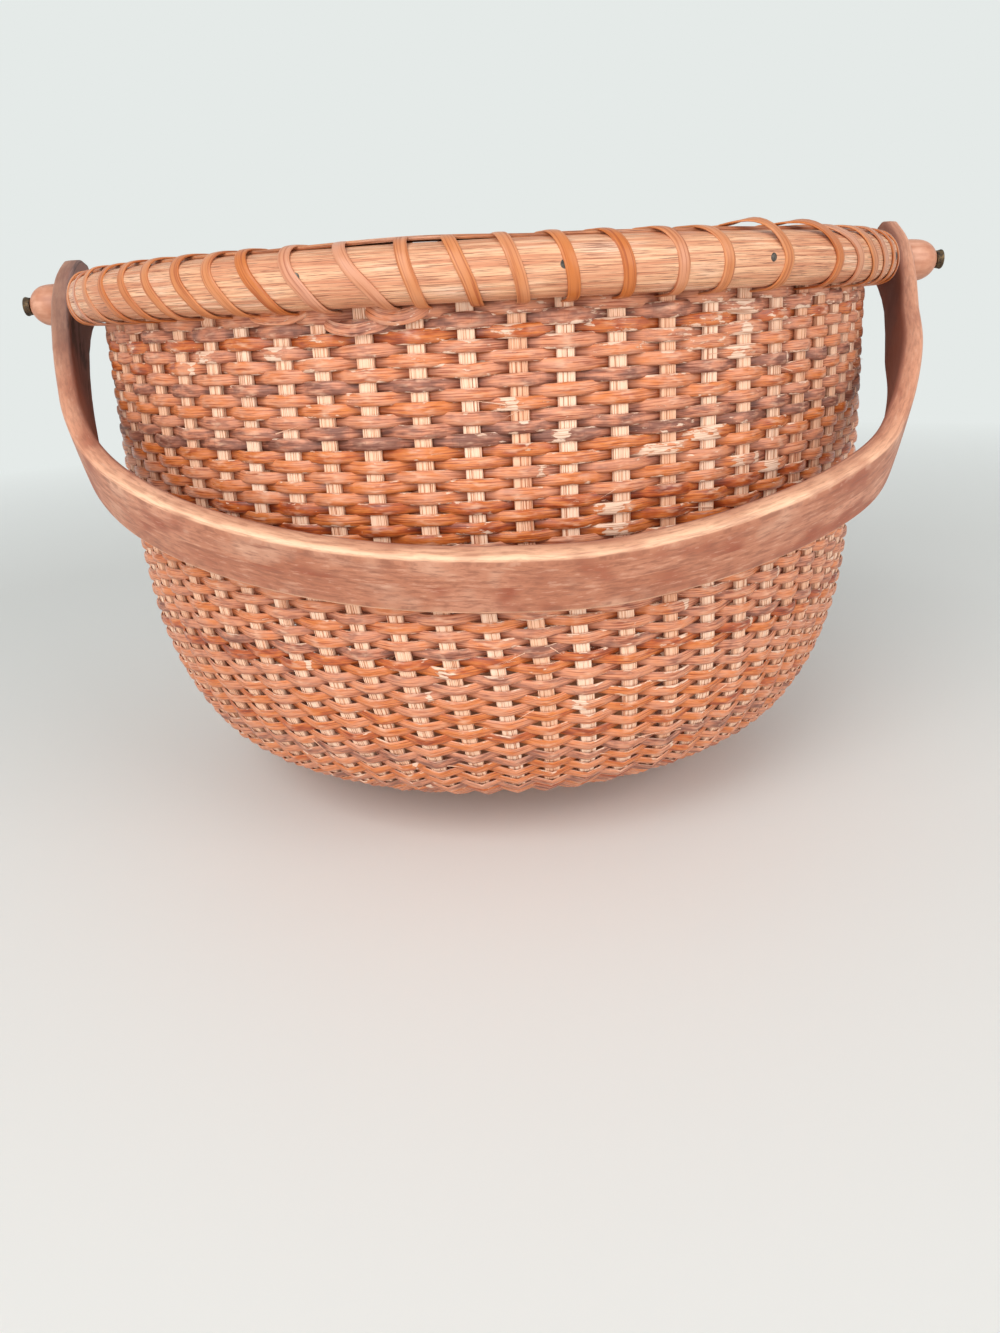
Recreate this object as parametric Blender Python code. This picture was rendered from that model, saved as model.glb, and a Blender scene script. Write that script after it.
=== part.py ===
"""Round basket of split cane, with 65 staves, a turned base, a hooped rim and a swing handle.

The basket stands on the flat face of its base. The origin is the centre of that face, +Z is up,
the handle turns about an axis along X, and at rest it lies against the front of the wall (-Y).
All lengths are in metres.
"""
import bpy
import bmesh
import math
import numpy as np
from mathutils import Matrix, Vector

# Clearances and overruns
clearance = 0.0003            # between neighbours that touch on the real basket
overrun = 0.010               # how far a cutter runs past what it cuts

# Wall, measured on the outer face of the weave
body_radius = 0.120           # at the rim
wall_height = 0.155           # from the resting face to the hoops' lower edge
weave_proud = 0.0006          # the weave stands this far in front of the staves
wall_thickness = 0.0018       # the layer of weave behind the staves
wall_outline_shares = (       # (share of the height, share of the spread from base to rim)
    (0.0, 0.0), (0.040, 0.290), (0.124, 0.667), (0.208, 0.826),
    (0.313, 0.925), (0.448, 0.984), (0.692, 1.011), (1.0, 1.0))

# Staves: the front half has one stave fewer, so that the count is odd and both pins pass a gap
front_staves = 32
back_staves = 33
stave_width = 0.0040
stave_foot_width = 0.0034
stave_thickness = 0.0011
stave_band_height = 0.0026    # the band that ties the stave tops between the hoops
stave_band_drop = 0.0005      # from the top of the hoops down to that band

# Turned base
base_radius = 0.053
base_thickness = 0.0095
base_lip = 0.0043             # height of the lower lip, where the weave starts
base_groove_depth = 0.0048
base_edge_break = 0.0016
base_lip_set_back = 0.0007    # the upper lip is this much smaller than the lower one
base_dish_depth = 0.0022
base_dish_radius = 0.043
base_bead_radius = 0.0014

# Rim: an outer and an inner hoop hold the staves, and a cap strip covers the joint
hoop_height = 0.0129
outer_hoop_width = 0.0090
outer_hoop_flat = 0.0034
outer_hoop_shoulder = 0.0070  # from the inner face to the point where the crown starts
outer_hoop_drop = 0.0013      # height lost at that point
outer_hoop_round = 0.0042     # height lost where the crown is widest
inner_hoop_width = 0.0060
inner_hoop_round = 0.0030
cap_width = 0.0072
cap_thickness = 0.0010

# Lashing: a flat strip of cane wound round the rim, one turn for each gap between staves
lash_width = 0.0024
lash_thickness = 0.0008
lash_strands = 3
lash_lean_share = 0.65        # share of one stave spacing that a turn moves on the outer face
lash_under_share = 0.04       # the same under the rim
lash_inside_share = 0.10      # the same up the inner face

# Handle: a flat bow, thicker and wider at the ears
handle_width = 0.0181
handle_thickness = 0.0054
ear_width = 0.0208
ear_thickness = 0.0056
ear_length = 0.0165           # from the pin to the tip of the ear
ear_end_shares = (            # towards the tip: shares of the ear's length, width and thickness
    (1.0, 0.49, 0.66), (0.86, 0.80, 0.84), (0.62, 0.96, 0.97), (0.30, 1.0, 1.0))
handle_edge_round = 0.0014
ear_flat = 0.0070             # from the pin to the point where the bow starts to bend
bow_clear = 0.01165           # from the lashed rim to the inside of the bow when it lies level
bow_outline_shares = (        # from right to left: (share of the handle's half span, share of its reach)
    (0.969, 0.109), (0.950, 0.206), (0.919, 0.318), (0.890, 0.430), (0.847, 0.541), (0.793, 0.653),
    (0.726, 0.757), (0.624, 0.839), (0.497, 0.906), (0.345, 0.963), (0.176, 0.999), (0.0, 1.0),
    (-0.161, 0.984), (-0.318, 0.948), (-0.458, 0.896), (-0.582, 0.832), (-0.694, 0.747), (-0.776, 0.653),
    (-0.837, 0.542), (-0.880, 0.430), (-0.918, 0.319), (-0.951, 0.207), (-0.976, 0.110))

# Pivots
pin_radius = 0.0016
pin_head_radius = 0.0035
pin_head_height = 0.0010
washer_radius = 0.0062
washer_thickness = 0.0031     # holds the ear off the lashed rim
washer_round = 0.0008
knob_radius = 0.0066
knob_length = 0.0105
knob_outline_shares = (       # (share of the length, share of the radius)
    (0.0, 0.94), (0.14, 0.99), (0.30, 1.0), (0.52, 0.97), (0.69, 0.90), (0.84, 0.76), (0.94, 0.60),
    (1.0, 0.46))
burr_radius = 0.0030
burr_length = 0.0021
burr_round = 0.0005
pin_dome = 0.0003             # the riveted end of a pin stands this far out of its burr

# Facets
wall_segments = 48
wall_rows = 7
hoop_segments = 64
small_segments = 16
bow_sections = 40             # along the whole bow
outline_steps = 24
station_crowding = 0.72       # under 1 draws the wall's rows together towards the base

# Sizes that follow from the ones above
stave_face = body_radius - weave_proud
stave_back = stave_face - stave_thickness
hoop_top = wall_height + hoop_height
pivot_height = wall_height + hoop_height / 2
outer_hoop_radius = stave_face + clearance
inner_hoop_radius = stave_back - clearance
lash_offset = clearance + lash_thickness / 2
wall_depth = weave_proud + stave_thickness + clearance
wall_top = wall_height - lash_thickness - 2 * clearance
lash_reach = outer_hoop_radius + outer_hoop_width + clearance + lash_thickness
washer_start = lash_reach + clearance
washer_end = washer_start + washer_thickness
ear_inside = washer_end + clearance
ear_outside = ear_inside + ear_thickness
handle_half_span = (ear_inside + ear_outside) / 2
bow_reach = lash_reach + bow_clear + handle_thickness / 2
knob_start = ear_outside + clearance
knob_end = knob_start + knob_length
burr_start = knob_end + clearance
burr_end = burr_start + burr_length
bore_radius = pin_radius + clearance
pin_head_start = inner_hoop_radius - inner_hoop_width + clearance
quarter = math.pi / 2


def clear_scene():
    """Remove every object, so that the script can be run again."""
    for obj in list(bpy.data.objects):
        bpy.data.objects.remove(obj, do_unlink=True)


def finish(obj, colour, roughness, metallic=0.0):
    """Give a piece a material of its own."""
    mat = bpy.data.materials.new(obj.name + "_finish")
    mat.use_nodes = True
    shader = mat.node_tree.nodes["Principled BSDF"]
    shader.inputs["Base Color"].default_value = (*colour, 1.0)
    shader.inputs["Roughness"].default_value = roughness
    shader.inputs["Metallic"].default_value = metallic
    obj.data.materials.clear()
    obj.data.materials.append(mat)


def add_piece(name, bm, smooth_angle=math.radians(35)):
    """Turn a bmesh into a named object with its faces pointing out."""
    bmesh.ops.recalc_face_normals(bm, faces=bm.faces)
    mesh = bpy.data.meshes.new(name)
    bm.to_mesh(mesh)
    bm.free()
    mesh.shade_smooth()
    mesh.set_sharp_from_angle(angle=smooth_angle)
    obj = bpy.data.objects.new(name, mesh)
    bpy.context.scene.collection.objects.link(obj)
    return obj


def curve_through(points, steps):
    """Return points on a smooth curve through the given ones, with some steps for each stretch."""
    pts = [Vector(p) for p in points]
    pts = [2 * pts[0] - pts[1]] + pts + [2 * pts[-1] - pts[-2]]
    out = []
    for a, b, c, d in zip(pts, pts[1:], pts[2:], pts[3:]):
        for i in range(steps):
            t = i / steps
            out.append(0.5 * (2 * b + (c - a) * t + (2 * a - 5 * b + 4 * c - d) * t ** 2
                              + (3 * b - a - 3 * c + d) * t ** 3))
    out.append(pts[-2])
    return out


def turned(name, outline, segments, along_x=False, side=1):
    """Spin a closed outline of (radius, height) points round Z, or round X for the pivot pieces."""
    bm = bmesh.new()
    ring = [bm.verts.new((r, 0, h)) for r, h in outline]
    edges = [bm.edges.new((a, b)) for a, b in zip(ring, ring[1:] + ring[:1])]
    bmesh.ops.spin(bm, geom=ring + edges, cent=(0, 0, 0), axis=(0, 0, 1), angle=2 * math.pi,
                   steps=segments, use_merge=True)
    if along_x:
        turn = Matrix.Rotation(side * quarter, 4, "Y")
        bmesh.ops.transform(bm, matrix=turn, verts=bm.verts)
        bmesh.ops.translate(bm, vec=(0, 0, pivot_height), verts=bm.verts)
    return add_piece(name, bm)


def cut(obj, cutter):
    """Cut one piece with a hidden cutter."""
    mod = obj.modifiers.new("bore", "BOOLEAN")
    mod.operation = "DIFFERENCE"
    mod.solver = "EXACT"
    mod.object = cutter


def pivot_cutter(name, radius, reach):
    """Make a rod along the pivot axis that cuts the bores on both sides at once."""
    bm = bmesh.new()
    bmesh.ops.create_cone(bm, cap_ends=True, segments=small_segments, radius1=radius, radius2=radius,
                          depth=2 * reach, matrix=Matrix.Rotation(quarter, 4, "Y"))
    cutter = add_piece(name, bm)
    cutter.location.z = pivot_height
    cutter.hide_render = True
    cutter.display_type = "WIRE"
    return cutter


# Outline of the wall

def wall_outline():
    """Return (radius, height) points down the outer face of the weave, from the rim to the base."""
    spread = body_radius - base_radius
    rise = wall_height - base_lip
    points = [(base_radius + across * spread, base_lip + up * rise, 0)
              for up, across in reversed(wall_outline_shares)]
    return [Vector((p.x, p.y)) for p in curve_through(points, outline_steps)]


def wall_stations(count):
    """Pick (point, normal) pairs down the wall, closer together towards the base, where it bends.

    They end just outside the base. Every layer of the wall is set in from these same stations, so
    that the flats of the layers stay parallel.
    """
    line = wall_outline()
    end_radius = base_radius + stave_thickness
    line = [p for p in line if p.x > end_radius]
    lengths = np.cumsum([0.0] + [(b - a).length for a, b in zip(line, line[1:])])
    wanted = lengths[-1] * np.linspace(0, 1, count) ** station_crowding
    stations = []
    for distance in wanted:
        i = min(int(np.searchsorted(lengths, distance, side="right")) - 1, len(line) - 2)
        point = line[i].lerp(line[i + 1], (distance - lengths[i]) / (lengths[i + 1] - lengths[i]))
        along = line[i + 1] - line[i]
        stations.append((point, Vector((-along.y, along.x)).normalized()))
    return stations


def layer(stations, depth):
    """Set a layer of the wall in by a depth, square to the weave."""
    return [point - depth * normal for point, normal in stations]


def weave_radius(height):
    """Return the radius of the weave's outer face at a height."""
    line = wall_outline()[::-1]
    return float(np.interp(height, [p.y for p in line], [p.x for p in line]))


# Base, wall and staves

def make_base():
    """Turn the base: a disc with a groove round its edge for the feet of the staves."""
    upper_radius = base_radius - base_lip_set_back
    groove_top = base_lip + stave_thickness + 2 * clearance
    groove_floor = base_radius - base_groove_depth
    dish = base_thickness - base_dish_depth
    bead = base_dish_radius - base_bead_radius
    outline = [
        (0, 0), (base_radius - base_edge_break, 0), (base_radius, base_edge_break),
        (base_radius, base_lip), (groove_floor, base_lip), (groove_floor, groove_top),
        (upper_radius, groove_top), (upper_radius, base_thickness - base_edge_break / 2),
        (upper_radius - base_edge_break / 2, base_thickness), (base_dish_radius, base_thickness),
        (bead, base_thickness - base_bead_radius), (bead - base_bead_radius, dish), (0, dish)]
    base = turned("base", outline, wall_segments)
    finish(base, (0.52, 0.29, 0.16), 0.5)


def make_woven_wall():
    """Turn the woven wall as one shell behind the staves, from the base to under the hoops."""
    stations = wall_stations(wall_rows)
    outer = layer(stations, wall_depth)
    inner = layer(stations, wall_depth + wall_thickness)
    outer[0].y = inner[0].y = wall_top
    wall = turned("woven_wall", [tuple(p) for p in outer + inner[::-1]], wall_segments)
    finish(wall, (0.58, 0.24, 0.13), 0.45)


def stave_angles():
    """Return the angle of each stave, counted round from the right-hand pin."""
    back_step = math.pi / back_staves
    front_step = math.pi / front_staves
    back = [(i + 0.5) * back_step for i in range(back_staves)]
    front = [math.pi + (i + 0.5) * front_step for i in range(front_staves)]
    return back + front


def make_stave_cage():
    """Build the staves, tied at the top by their band, with their feet in the groove of the base."""
    stations = wall_stations(wall_rows)
    face = layer(stations, weave_proud)
    back = layer(stations, weave_proud + stave_thickness)
    face[0] = Vector((stave_face, wall_height))
    back[0] = Vector((stave_back, wall_height))
    foot_low = base_lip + clearance
    foot_high = foot_low + stave_thickness
    foot_end = base_radius - base_groove_depth + clearance
    mouth = base_radius - base_lip_set_back
    face += [Vector((mouth, foot_low)), Vector((foot_end, foot_low))]
    back += [Vector((mouth, foot_high)), Vector((foot_end, foot_high))]
    widths = np.interp([p.x for p in face], [base_radius, body_radius], [stave_foot_width, stave_width])
    band_top = hoop_top - stave_band_drop
    band_low = band_top - stave_band_height

    bm = bmesh.new()

    def corner(angle, radius, height, across):
        out = Vector((math.cos(angle), math.sin(angle), 0))
        along = Vector((-math.sin(angle), math.cos(angle), 0))
        return bm.verts.new(out * radius + along * across + Vector((0, 0, height)))

    def ring(angle, outside, inside, width):
        half = width / 2
        return [corner(angle, outside.x, outside.y, -half), corner(angle, outside.x, outside.y, half),
                corner(angle, inside.x, inside.y, half), corner(angle, inside.x, inside.y, -half)]

    staves = []
    for angle in stave_angles():
        rings = [ring(angle, Vector((stave_face, height)), Vector((stave_back, height)), stave_width)
                 for height in (band_top, band_low)]
        rings += [ring(angle, f, b, w) for f, b, w in zip(face, back, widths)]
        staves.append(rings)

    for rings in staves:
        bm.faces.new(rings[0])
        bm.faces.new((rings[0][0], rings[0][1], rings[1][1], rings[1][0]))
        bm.faces.new((rings[0][2], rings[0][3], rings[1][3], rings[1][2]))
        for upper, lower in zip(rings[1:], rings[2:]):
            for i in range(4):
                j = (i + 1) % 4
                bm.faces.new((upper[i], upper[j], lower[j], lower[i]))
        bm.faces.new(rings[-1])

    for this, following in zip(staves, staves[1:] + staves[:1]):
        for level in (0, 1):
            bm.faces.new((this[level][1], following[level][0], following[level][3], this[level][2]))
        bm.faces.new((this[0][1], following[0][0], following[1][0], this[1][1]))
        bm.faces.new((this[0][2], following[0][3], following[1][3], this[1][2]))

    cage = add_piece("stave_cage", bm)
    finish(cage, (0.80, 0.52, 0.34), 0.6)


# Rim

def rim_sections():
    """Return the closed sections of the outer hoop, the inner hoop and the cap strip."""
    r, low, top = outer_hoop_radius, wall_height, hoop_top
    crown = r + outer_hoop_width
    outer = [(r, low), (r, top), (r + outer_hoop_flat, top),
             (r + outer_hoop_shoulder, top - outer_hoop_drop), (crown, top - outer_hoop_round),
             (crown, low + outer_hoop_round), (r + outer_hoop_shoulder, low + outer_hoop_drop),
             (r + outer_hoop_flat, low)]
    r = inner_hoop_radius
    inner = [(r, low), (r - inner_hoop_width + inner_hoop_round, low),
             (r - inner_hoop_width, low + inner_hoop_round),
             (r - inner_hoop_width, top - inner_hoop_round),
             (r - inner_hoop_width + inner_hoop_round, top), (r, top)]
    middle = (stave_face + stave_back) / 2
    cap_low = top + clearance
    cap = [(middle - cap_width / 2, cap_low), (middle - cap_width / 2, cap_low + cap_thickness),
           (middle + cap_width / 2, cap_low + cap_thickness), (middle + cap_width / 2, cap_low)]
    return outer, inner, cap


def make_hoops(bore, recess):
    """Bend the hoops and the cap strip, and bore the hoops for the pins."""
    outer, inner, cap = rim_sections()
    outer_hoop = turned("rim_outer_hoop", outer, hoop_segments)
    inner_hoop = turned("rim_inner_hoop", inner, hoop_segments)
    cap_strip = turned("rim_cap", cap, hoop_segments)
    cut(outer_hoop, bore)
    cut(inner_hoop, bore)
    cut(inner_hoop, recess)
    finish(outer_hoop, (0.76, 0.44, 0.24), 0.55)
    finish(inner_hoop, (0.70, 0.40, 0.22), 0.55)
    finish(cap_strip, (0.62, 0.30, 0.14), 0.5)


def lashing_path():
    """Return the loop that one turn of lashing follows round the rim.

    Each entry is (radius, height, share of a stave spacing, normal in the section). The loop
    starts on top of the rim, runs down the outer face, under the rim, and up the inner face.
    """
    outer, inner, cap = rim_sections()
    corners = [Vector(c) for c in (cap[2], *outer[3:], *inner[1:4], cap[1])]
    count = len(corners)
    normals = []
    for i, point in enumerate(corners):
        before = (point - corners[i - 1]).normalized()
        after = (corners[(i + 1) % count] - point).normalized()
        bisector = Vector((-(before.y + after.y), before.x + after.x)).normalized()
        lean = bisector.dot(Vector((-before.y, before.x)))
        normals.append(bisector / lean)
    centres = [point + lash_offset * normal for point, normal in zip(corners, normals)]
    outer_run = np.cumsum([0.0] + [(b - a).length for a, b in zip(centres[:5], centres[1:6])])
    shares = list(lash_lean_share * (outer_run / outer_run[-1] - 1))
    shares += [lash_under_share, lash_under_share, lash_under_share + lash_inside_share,
               lash_under_share + lash_inside_share]
    return [(c.x, c.y, s, n) for c, s, n in zip(centres, shares, normals)]


def least_gap(strand, per_turn):
    """Measure the least gap between neighbouring turns of one strand, on its points."""
    centres = np.array(strand)
    least = math.inf
    for start in range(per_turn // 2, len(centres)):
        far = np.linalg.norm(centres[start:] - centres[:-start], axis=1).min()
        least = min(least, far - lash_width)
        if start > 2 * per_turn:
            break
    return least


def make_lashing():
    """Wind the lashing in strands of at most 24 turns, each turn between two staves."""
    path = lashing_path()
    angles = stave_angles()
    gaps = [(a + b) / 2 for a, b in zip(angles, angles[1:] + [angles[0] + 2 * math.pi])]
    turns = len(gaps)
    steps = [(gaps[i] - gaps[i - 1]) % (2 * math.pi) for i in range(turns)]
    first = 0
    for strand in range(lash_strands):
        last = round(turns * (strand + 1) / lash_strands)
        centres, normals = [], []
        for turn in range(first, last):
            for radius, height, share, normal in path:
                step = steps[turn] if share < 0 else steps[(turn + 1) % turns]
                angle = gaps[turn] + share * step
                out = Vector((math.cos(angle), math.sin(angle), 0))
                centres.append(out * radius + Vector((0, 0, height)))
                normals.append(out * normal.x + Vector((0, 0, normal.y)))
        first = last
        name = f"rim_lashing_{strand + 1}"
        print(name, "turns", len(centres) // len(path), "least gap",
              round(least_gap(centres, len(path)), 5))
        bm = bmesh.new()
        rings = []
        for i, (centre, normal) in enumerate(zip(centres, normals)):
            along = centres[min(i + 1, len(centres) - 1)] - centres[max(i - 1, 0)]
            across = along.cross(normal).normalized() * (lash_width / 2)
            lift = normal * (lash_thickness / 2)
            rings.append([bm.verts.new(centre + side * across + face * lift)
                          for side, face in ((-1, 1), (1, 1), (1, -1), (-1, -1))])
        for a, b in zip(rings, rings[1:]):
            for i in range(4):
                j = (i + 1) % 4
                bm.faces.new((a[i], a[j], b[j], b[i]))
        bm.faces.new(rings[0])
        bm.faces.new(rings[-1])
        lashing = add_piece(name, bm)
        finish(lashing, (0.56, 0.26, 0.12), 0.4)


# Handle

def bow_line():
    """Return the middle line of the bow, from the right ear's flat to the left ear's."""
    points = [(across * handle_half_span, out * bow_reach, 0) for across, out in bow_outline_shares]
    points = [(handle_half_span, ear_flat, 0)] + points + [(-handle_half_span, ear_flat, 0)]
    line = curve_through(points, outline_steps)
    lengths = np.cumsum([0.0] + [(b - a).length for a, b in zip(line, line[1:])])
    wanted = lengths[-1] * np.linspace(0, 1, bow_sections + 1)
    across = np.interp(wanted, lengths, [p.x for p in line])
    out = np.interp(wanted, lengths, [p.y for p in line])
    return list(zip(across, out))


def rest_angle():
    """Find how far the bow drops before its inner lower edge comes to rest against the weave."""
    reach = bow_reach - handle_thickness / 2
    low, high = 0.0, quarter
    for _ in range(40):
        angle = (low + high) / 2
        out = reach * math.cos(angle) - handle_width / 2 * math.sin(angle)
        height = pivot_height - reach * math.sin(angle) - handle_width / 2 * math.cos(angle)
        if out > weave_radius(height) + clearance:
            low = angle
        else:
            high = angle
    return low


def make_handle(bore):
    """Bend the handle from one strip: an ear at each pin, thinner and narrower at the middle."""
    ear = [(handle_half_span, -length * ear_length, width * ear_width, thick * ear_thickness)
           for length, width, thick in ear_end_shares]
    ear.append((handle_half_span, ear_flat / 2, ear_width, ear_thickness))
    sections = list(ear)
    for i, (across, out) in enumerate(bow_line()):
        blend = math.sin(i / bow_sections * 2 * quarter)
        sections.append((across, out, ear_width + (handle_width - ear_width) * blend,
                         ear_thickness + (handle_thickness - ear_thickness) * blend))
    sections += [(-across, out, width, thick) for across, out, width, thick in reversed(ear)]
    bm = bmesh.new()
    rings = []
    for i, (across, out, width, thick) in enumerate(sections):
        before, after = sections[max(i - 1, 0)], sections[min(i + 1, len(sections) - 1)]
        along = Vector((after[0] - before[0], before[1] - after[1], 0)).normalized()
        normal = Vector((-along.y, along.x, 0))
        centre = Vector((across, -out, 0))
        trim = min(handle_edge_round, thick / 3)
        corners = [(thick / 2 - trim, width / 2), (thick / 2, width / 2 - trim),
                   (thick / 2, trim - width / 2), (thick / 2 - trim, -width / 2),
                   (trim - thick / 2, -width / 2), (-thick / 2, trim - width / 2),
                   (-thick / 2, width / 2 - trim), (trim - thick / 2, width / 2)]
        rings.append([bm.verts.new(centre + normal * n + Vector((0, 0, z))) for n, z in corners])
    for a, b in zip(rings, rings[1:]):
        for i in range(8):
            j = (i + 1) % 8
            bm.faces.new((a[i], a[j], b[j], b[i]))
    bm.faces.new(rings[0])
    bm.faces.new(rings[-1])
    bow = add_piece("handle_bow", bm)
    bow.location = (0, 0, pivot_height)
    bow.rotation_euler.x = rest_angle()
    cut(bow, bore)
    finish(bow, (0.56, 0.27, 0.17), 0.5)
    print("handle rests", round(math.degrees(rest_angle()), 3), "degrees below level")


# Pivots

def make_pivot(side, label):
    """Make the pin, spacer washer, knob and riveting burr of one pivot."""
    pin_end = burr_end + pin_dome
    neck = pin_head_start + pin_head_height
    pin = turned(f"pivot_pin_{label}", [
        (0, pin_head_start), (pin_head_radius, pin_head_start), (pin_head_radius, neck),
        (pin_radius, neck), (pin_radius, pin_end - pin_dome), (pin_radius - pin_dome, pin_end),
        (0, pin_end)], small_segments, True, side)
    finish(pin, (0.30, 0.22, 0.12), 0.4, 1.0)

    washer = turned(f"spacer_washer_{label}", [
        (bore_radius, washer_start), (washer_radius - washer_round, washer_start),
        (washer_radius, washer_start + washer_round), (washer_radius, washer_end - washer_round),
        (washer_radius - washer_round, washer_end), (bore_radius, washer_end)],
        small_segments, True, side)
    finish(washer, (0.46, 0.24, 0.14), 0.5)

    dome = [(radius * knob_radius, knob_start + length * knob_length)
            for length, radius in knob_outline_shares]
    knob = turned(f"knob_{label}", [(bore_radius, knob_start)] + dome + [(bore_radius, knob_end)],
                  small_segments, True, side)
    finish(knob, (0.52, 0.25, 0.16), 0.4)

    burr = turned(f"pin_burr_{label}", [
        (bore_radius, burr_start), (burr_radius - burr_round, burr_start),
        (burr_radius, burr_start + burr_round), (burr_radius, burr_end - burr_round),
        (burr_radius - burr_round, burr_end), (bore_radius, burr_end)],
        small_segments, True, side)
    finish(burr, (0.30, 0.22, 0.12), 0.45, 1.0)


clear_scene()
pin_bore = pivot_cutter("pin_bore_cutter", bore_radius, ear_outside + overrun)
head_recess = pivot_cutter("head_recess_cutter", pin_head_radius + clearance,
                           pin_head_start + pin_head_height + clearance)
make_base()
make_woven_wall()
make_stave_cage()
make_hoops(pin_bore, head_recess)
make_lashing()
make_handle(pin_bore)
make_pivot(1, "right")
make_pivot(-1, "left")
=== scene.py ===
# %% [markdown]
# # A round cane basket
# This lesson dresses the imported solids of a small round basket: split cane woven over 65 flat
# staves, a turned base, two hoops lashed round the rim, and a swing handle that hangs from two
# pins. The solids come first and never move, and each piece here is built where its solid is.

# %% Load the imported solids
import math
import bpy
import numpy as np
from mathutils import Matrix


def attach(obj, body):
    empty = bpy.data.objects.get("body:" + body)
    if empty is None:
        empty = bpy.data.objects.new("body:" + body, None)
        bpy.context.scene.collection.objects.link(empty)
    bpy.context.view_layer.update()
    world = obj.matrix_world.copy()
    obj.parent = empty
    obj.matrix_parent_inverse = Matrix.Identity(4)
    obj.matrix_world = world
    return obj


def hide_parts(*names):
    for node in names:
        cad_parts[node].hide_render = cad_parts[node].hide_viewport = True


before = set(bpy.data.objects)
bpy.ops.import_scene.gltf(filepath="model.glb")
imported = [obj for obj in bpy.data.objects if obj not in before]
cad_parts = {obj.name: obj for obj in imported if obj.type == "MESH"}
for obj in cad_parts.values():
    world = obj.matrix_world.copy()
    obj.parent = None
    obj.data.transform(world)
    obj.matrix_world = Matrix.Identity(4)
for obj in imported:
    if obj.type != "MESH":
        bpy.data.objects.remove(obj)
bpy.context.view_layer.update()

# %% [markdown]
# ## Sizes shared with the solids
# A basket maker works from a mould, so the wall has one outline all round. The outline is a smooth
# curve through a few points of height and spread, and every layer of the wall is set in from it.
# The numbers are those of the solids, which keeps each woven piece in its solid's place.

# %% Sizes of the basket in metres
BODY_RADIUS, BASE_RADIUS = 0.120, 0.053
WALL_HEIGHT, BASE_LIP = 0.155, 0.0043
WALL_SHARES = ((0.0, 0.0), (0.040, 0.290), (0.124, 0.667), (0.208, 0.826),
               (0.313, 0.925), (0.448, 0.984), (0.692, 1.011), (1.0, 1.0))
HOOP_TOP = 0.1679
HOOP_FACE = 0.1197
INNER_HOOP_FACE = 0.1180
PIVOT_HEIGHT = 0.16145


def curve_through(points, steps):
    """Return points on a smooth curve through the given ones."""
    pts = np.array(points, float)
    pts = np.vstack([2 * pts[0] - pts[1], pts, 2 * pts[-1] - pts[-2]])
    out = []
    for a, b, c, d in zip(pts, pts[1:], pts[2:], pts[3:]):
        for t in np.arange(steps) / steps:
            out.append(0.5 * (2 * b + (c - a) * t + (2 * a - 5 * b + 4 * c - d) * t ** 2
                              + (3 * b - a - 3 * c + d) * t ** 3))
    return np.array(out + [pts[-2]])


def lengths_along(points):
    """Return the distance of each point along its line."""
    return np.r_[0, np.cumsum(np.linalg.norm(np.diff(points, axis=0), axis=1))]


wall_line = curve_through([(BASE_RADIUS + across * (BODY_RADIUS - BASE_RADIUS),
                            BASE_LIP + up * (WALL_HEIGHT - BASE_LIP)) for up, across in WALL_SHARES], 24)
wall_length = lengths_along(wall_line)
print("length up the wall in mm:", round(1000 * wall_length[-1], 1))


def wall_at(distance, depth):
    """Return radius and height on the wall, a distance up from the base and a depth under its face."""
    r = np.interp(distance, wall_length, wall_line[:, 0])
    z = np.interp(distance, wall_length, wall_line[:, 1])
    slope = np.gradient(wall_line, wall_length, axis=0)
    dr = np.interp(distance, wall_length, slope[:, 0])
    dz = np.interp(distance, wall_length, slope[:, 1])
    size = np.hypot(dr, dz)
    return r - depth * dz / size, z + depth * dr / size, dr / size, dz / size


# %% [markdown]
# ## One way to make every strip
# Cane, hoops and handle are all strips that follow a line, so one helper sweeps a closed section
# along a line. It also lays a UV map in metres, along and round the strip, which lets grain and
# wear follow the strip in the materials. Three marks are kept on each point as a colour: the tone
# of the strip, how worn it is, and how deep it lies. A curve object with a bevel could sweep too,
# but it can't hold marks or change its section on the way.

# %% Sweep strips into meshes


def faces_between(n, m, rows, columns, lengths, round_it):
    """Return the faces between n sections of m points, and their map. A full count closes the strip."""
    i, j = np.meshgrid(np.arange(rows), np.arange(columns), indexing="ij")
    i2, j2 = (i + 1) % n, (j + 1) % m
    quads = np.stack([i * m + j, i * m + j2, i2 * m + j2, i2 * m + j], -1).reshape(-1, 4)
    u, v = lengths[np.stack([i, i, i + 1, i + 1], -1)], round_it[np.stack([j, j + 1, j + 1, j], -1)]
    return quads, np.stack([u, v], -1).reshape(-1, 4, 2)


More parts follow.
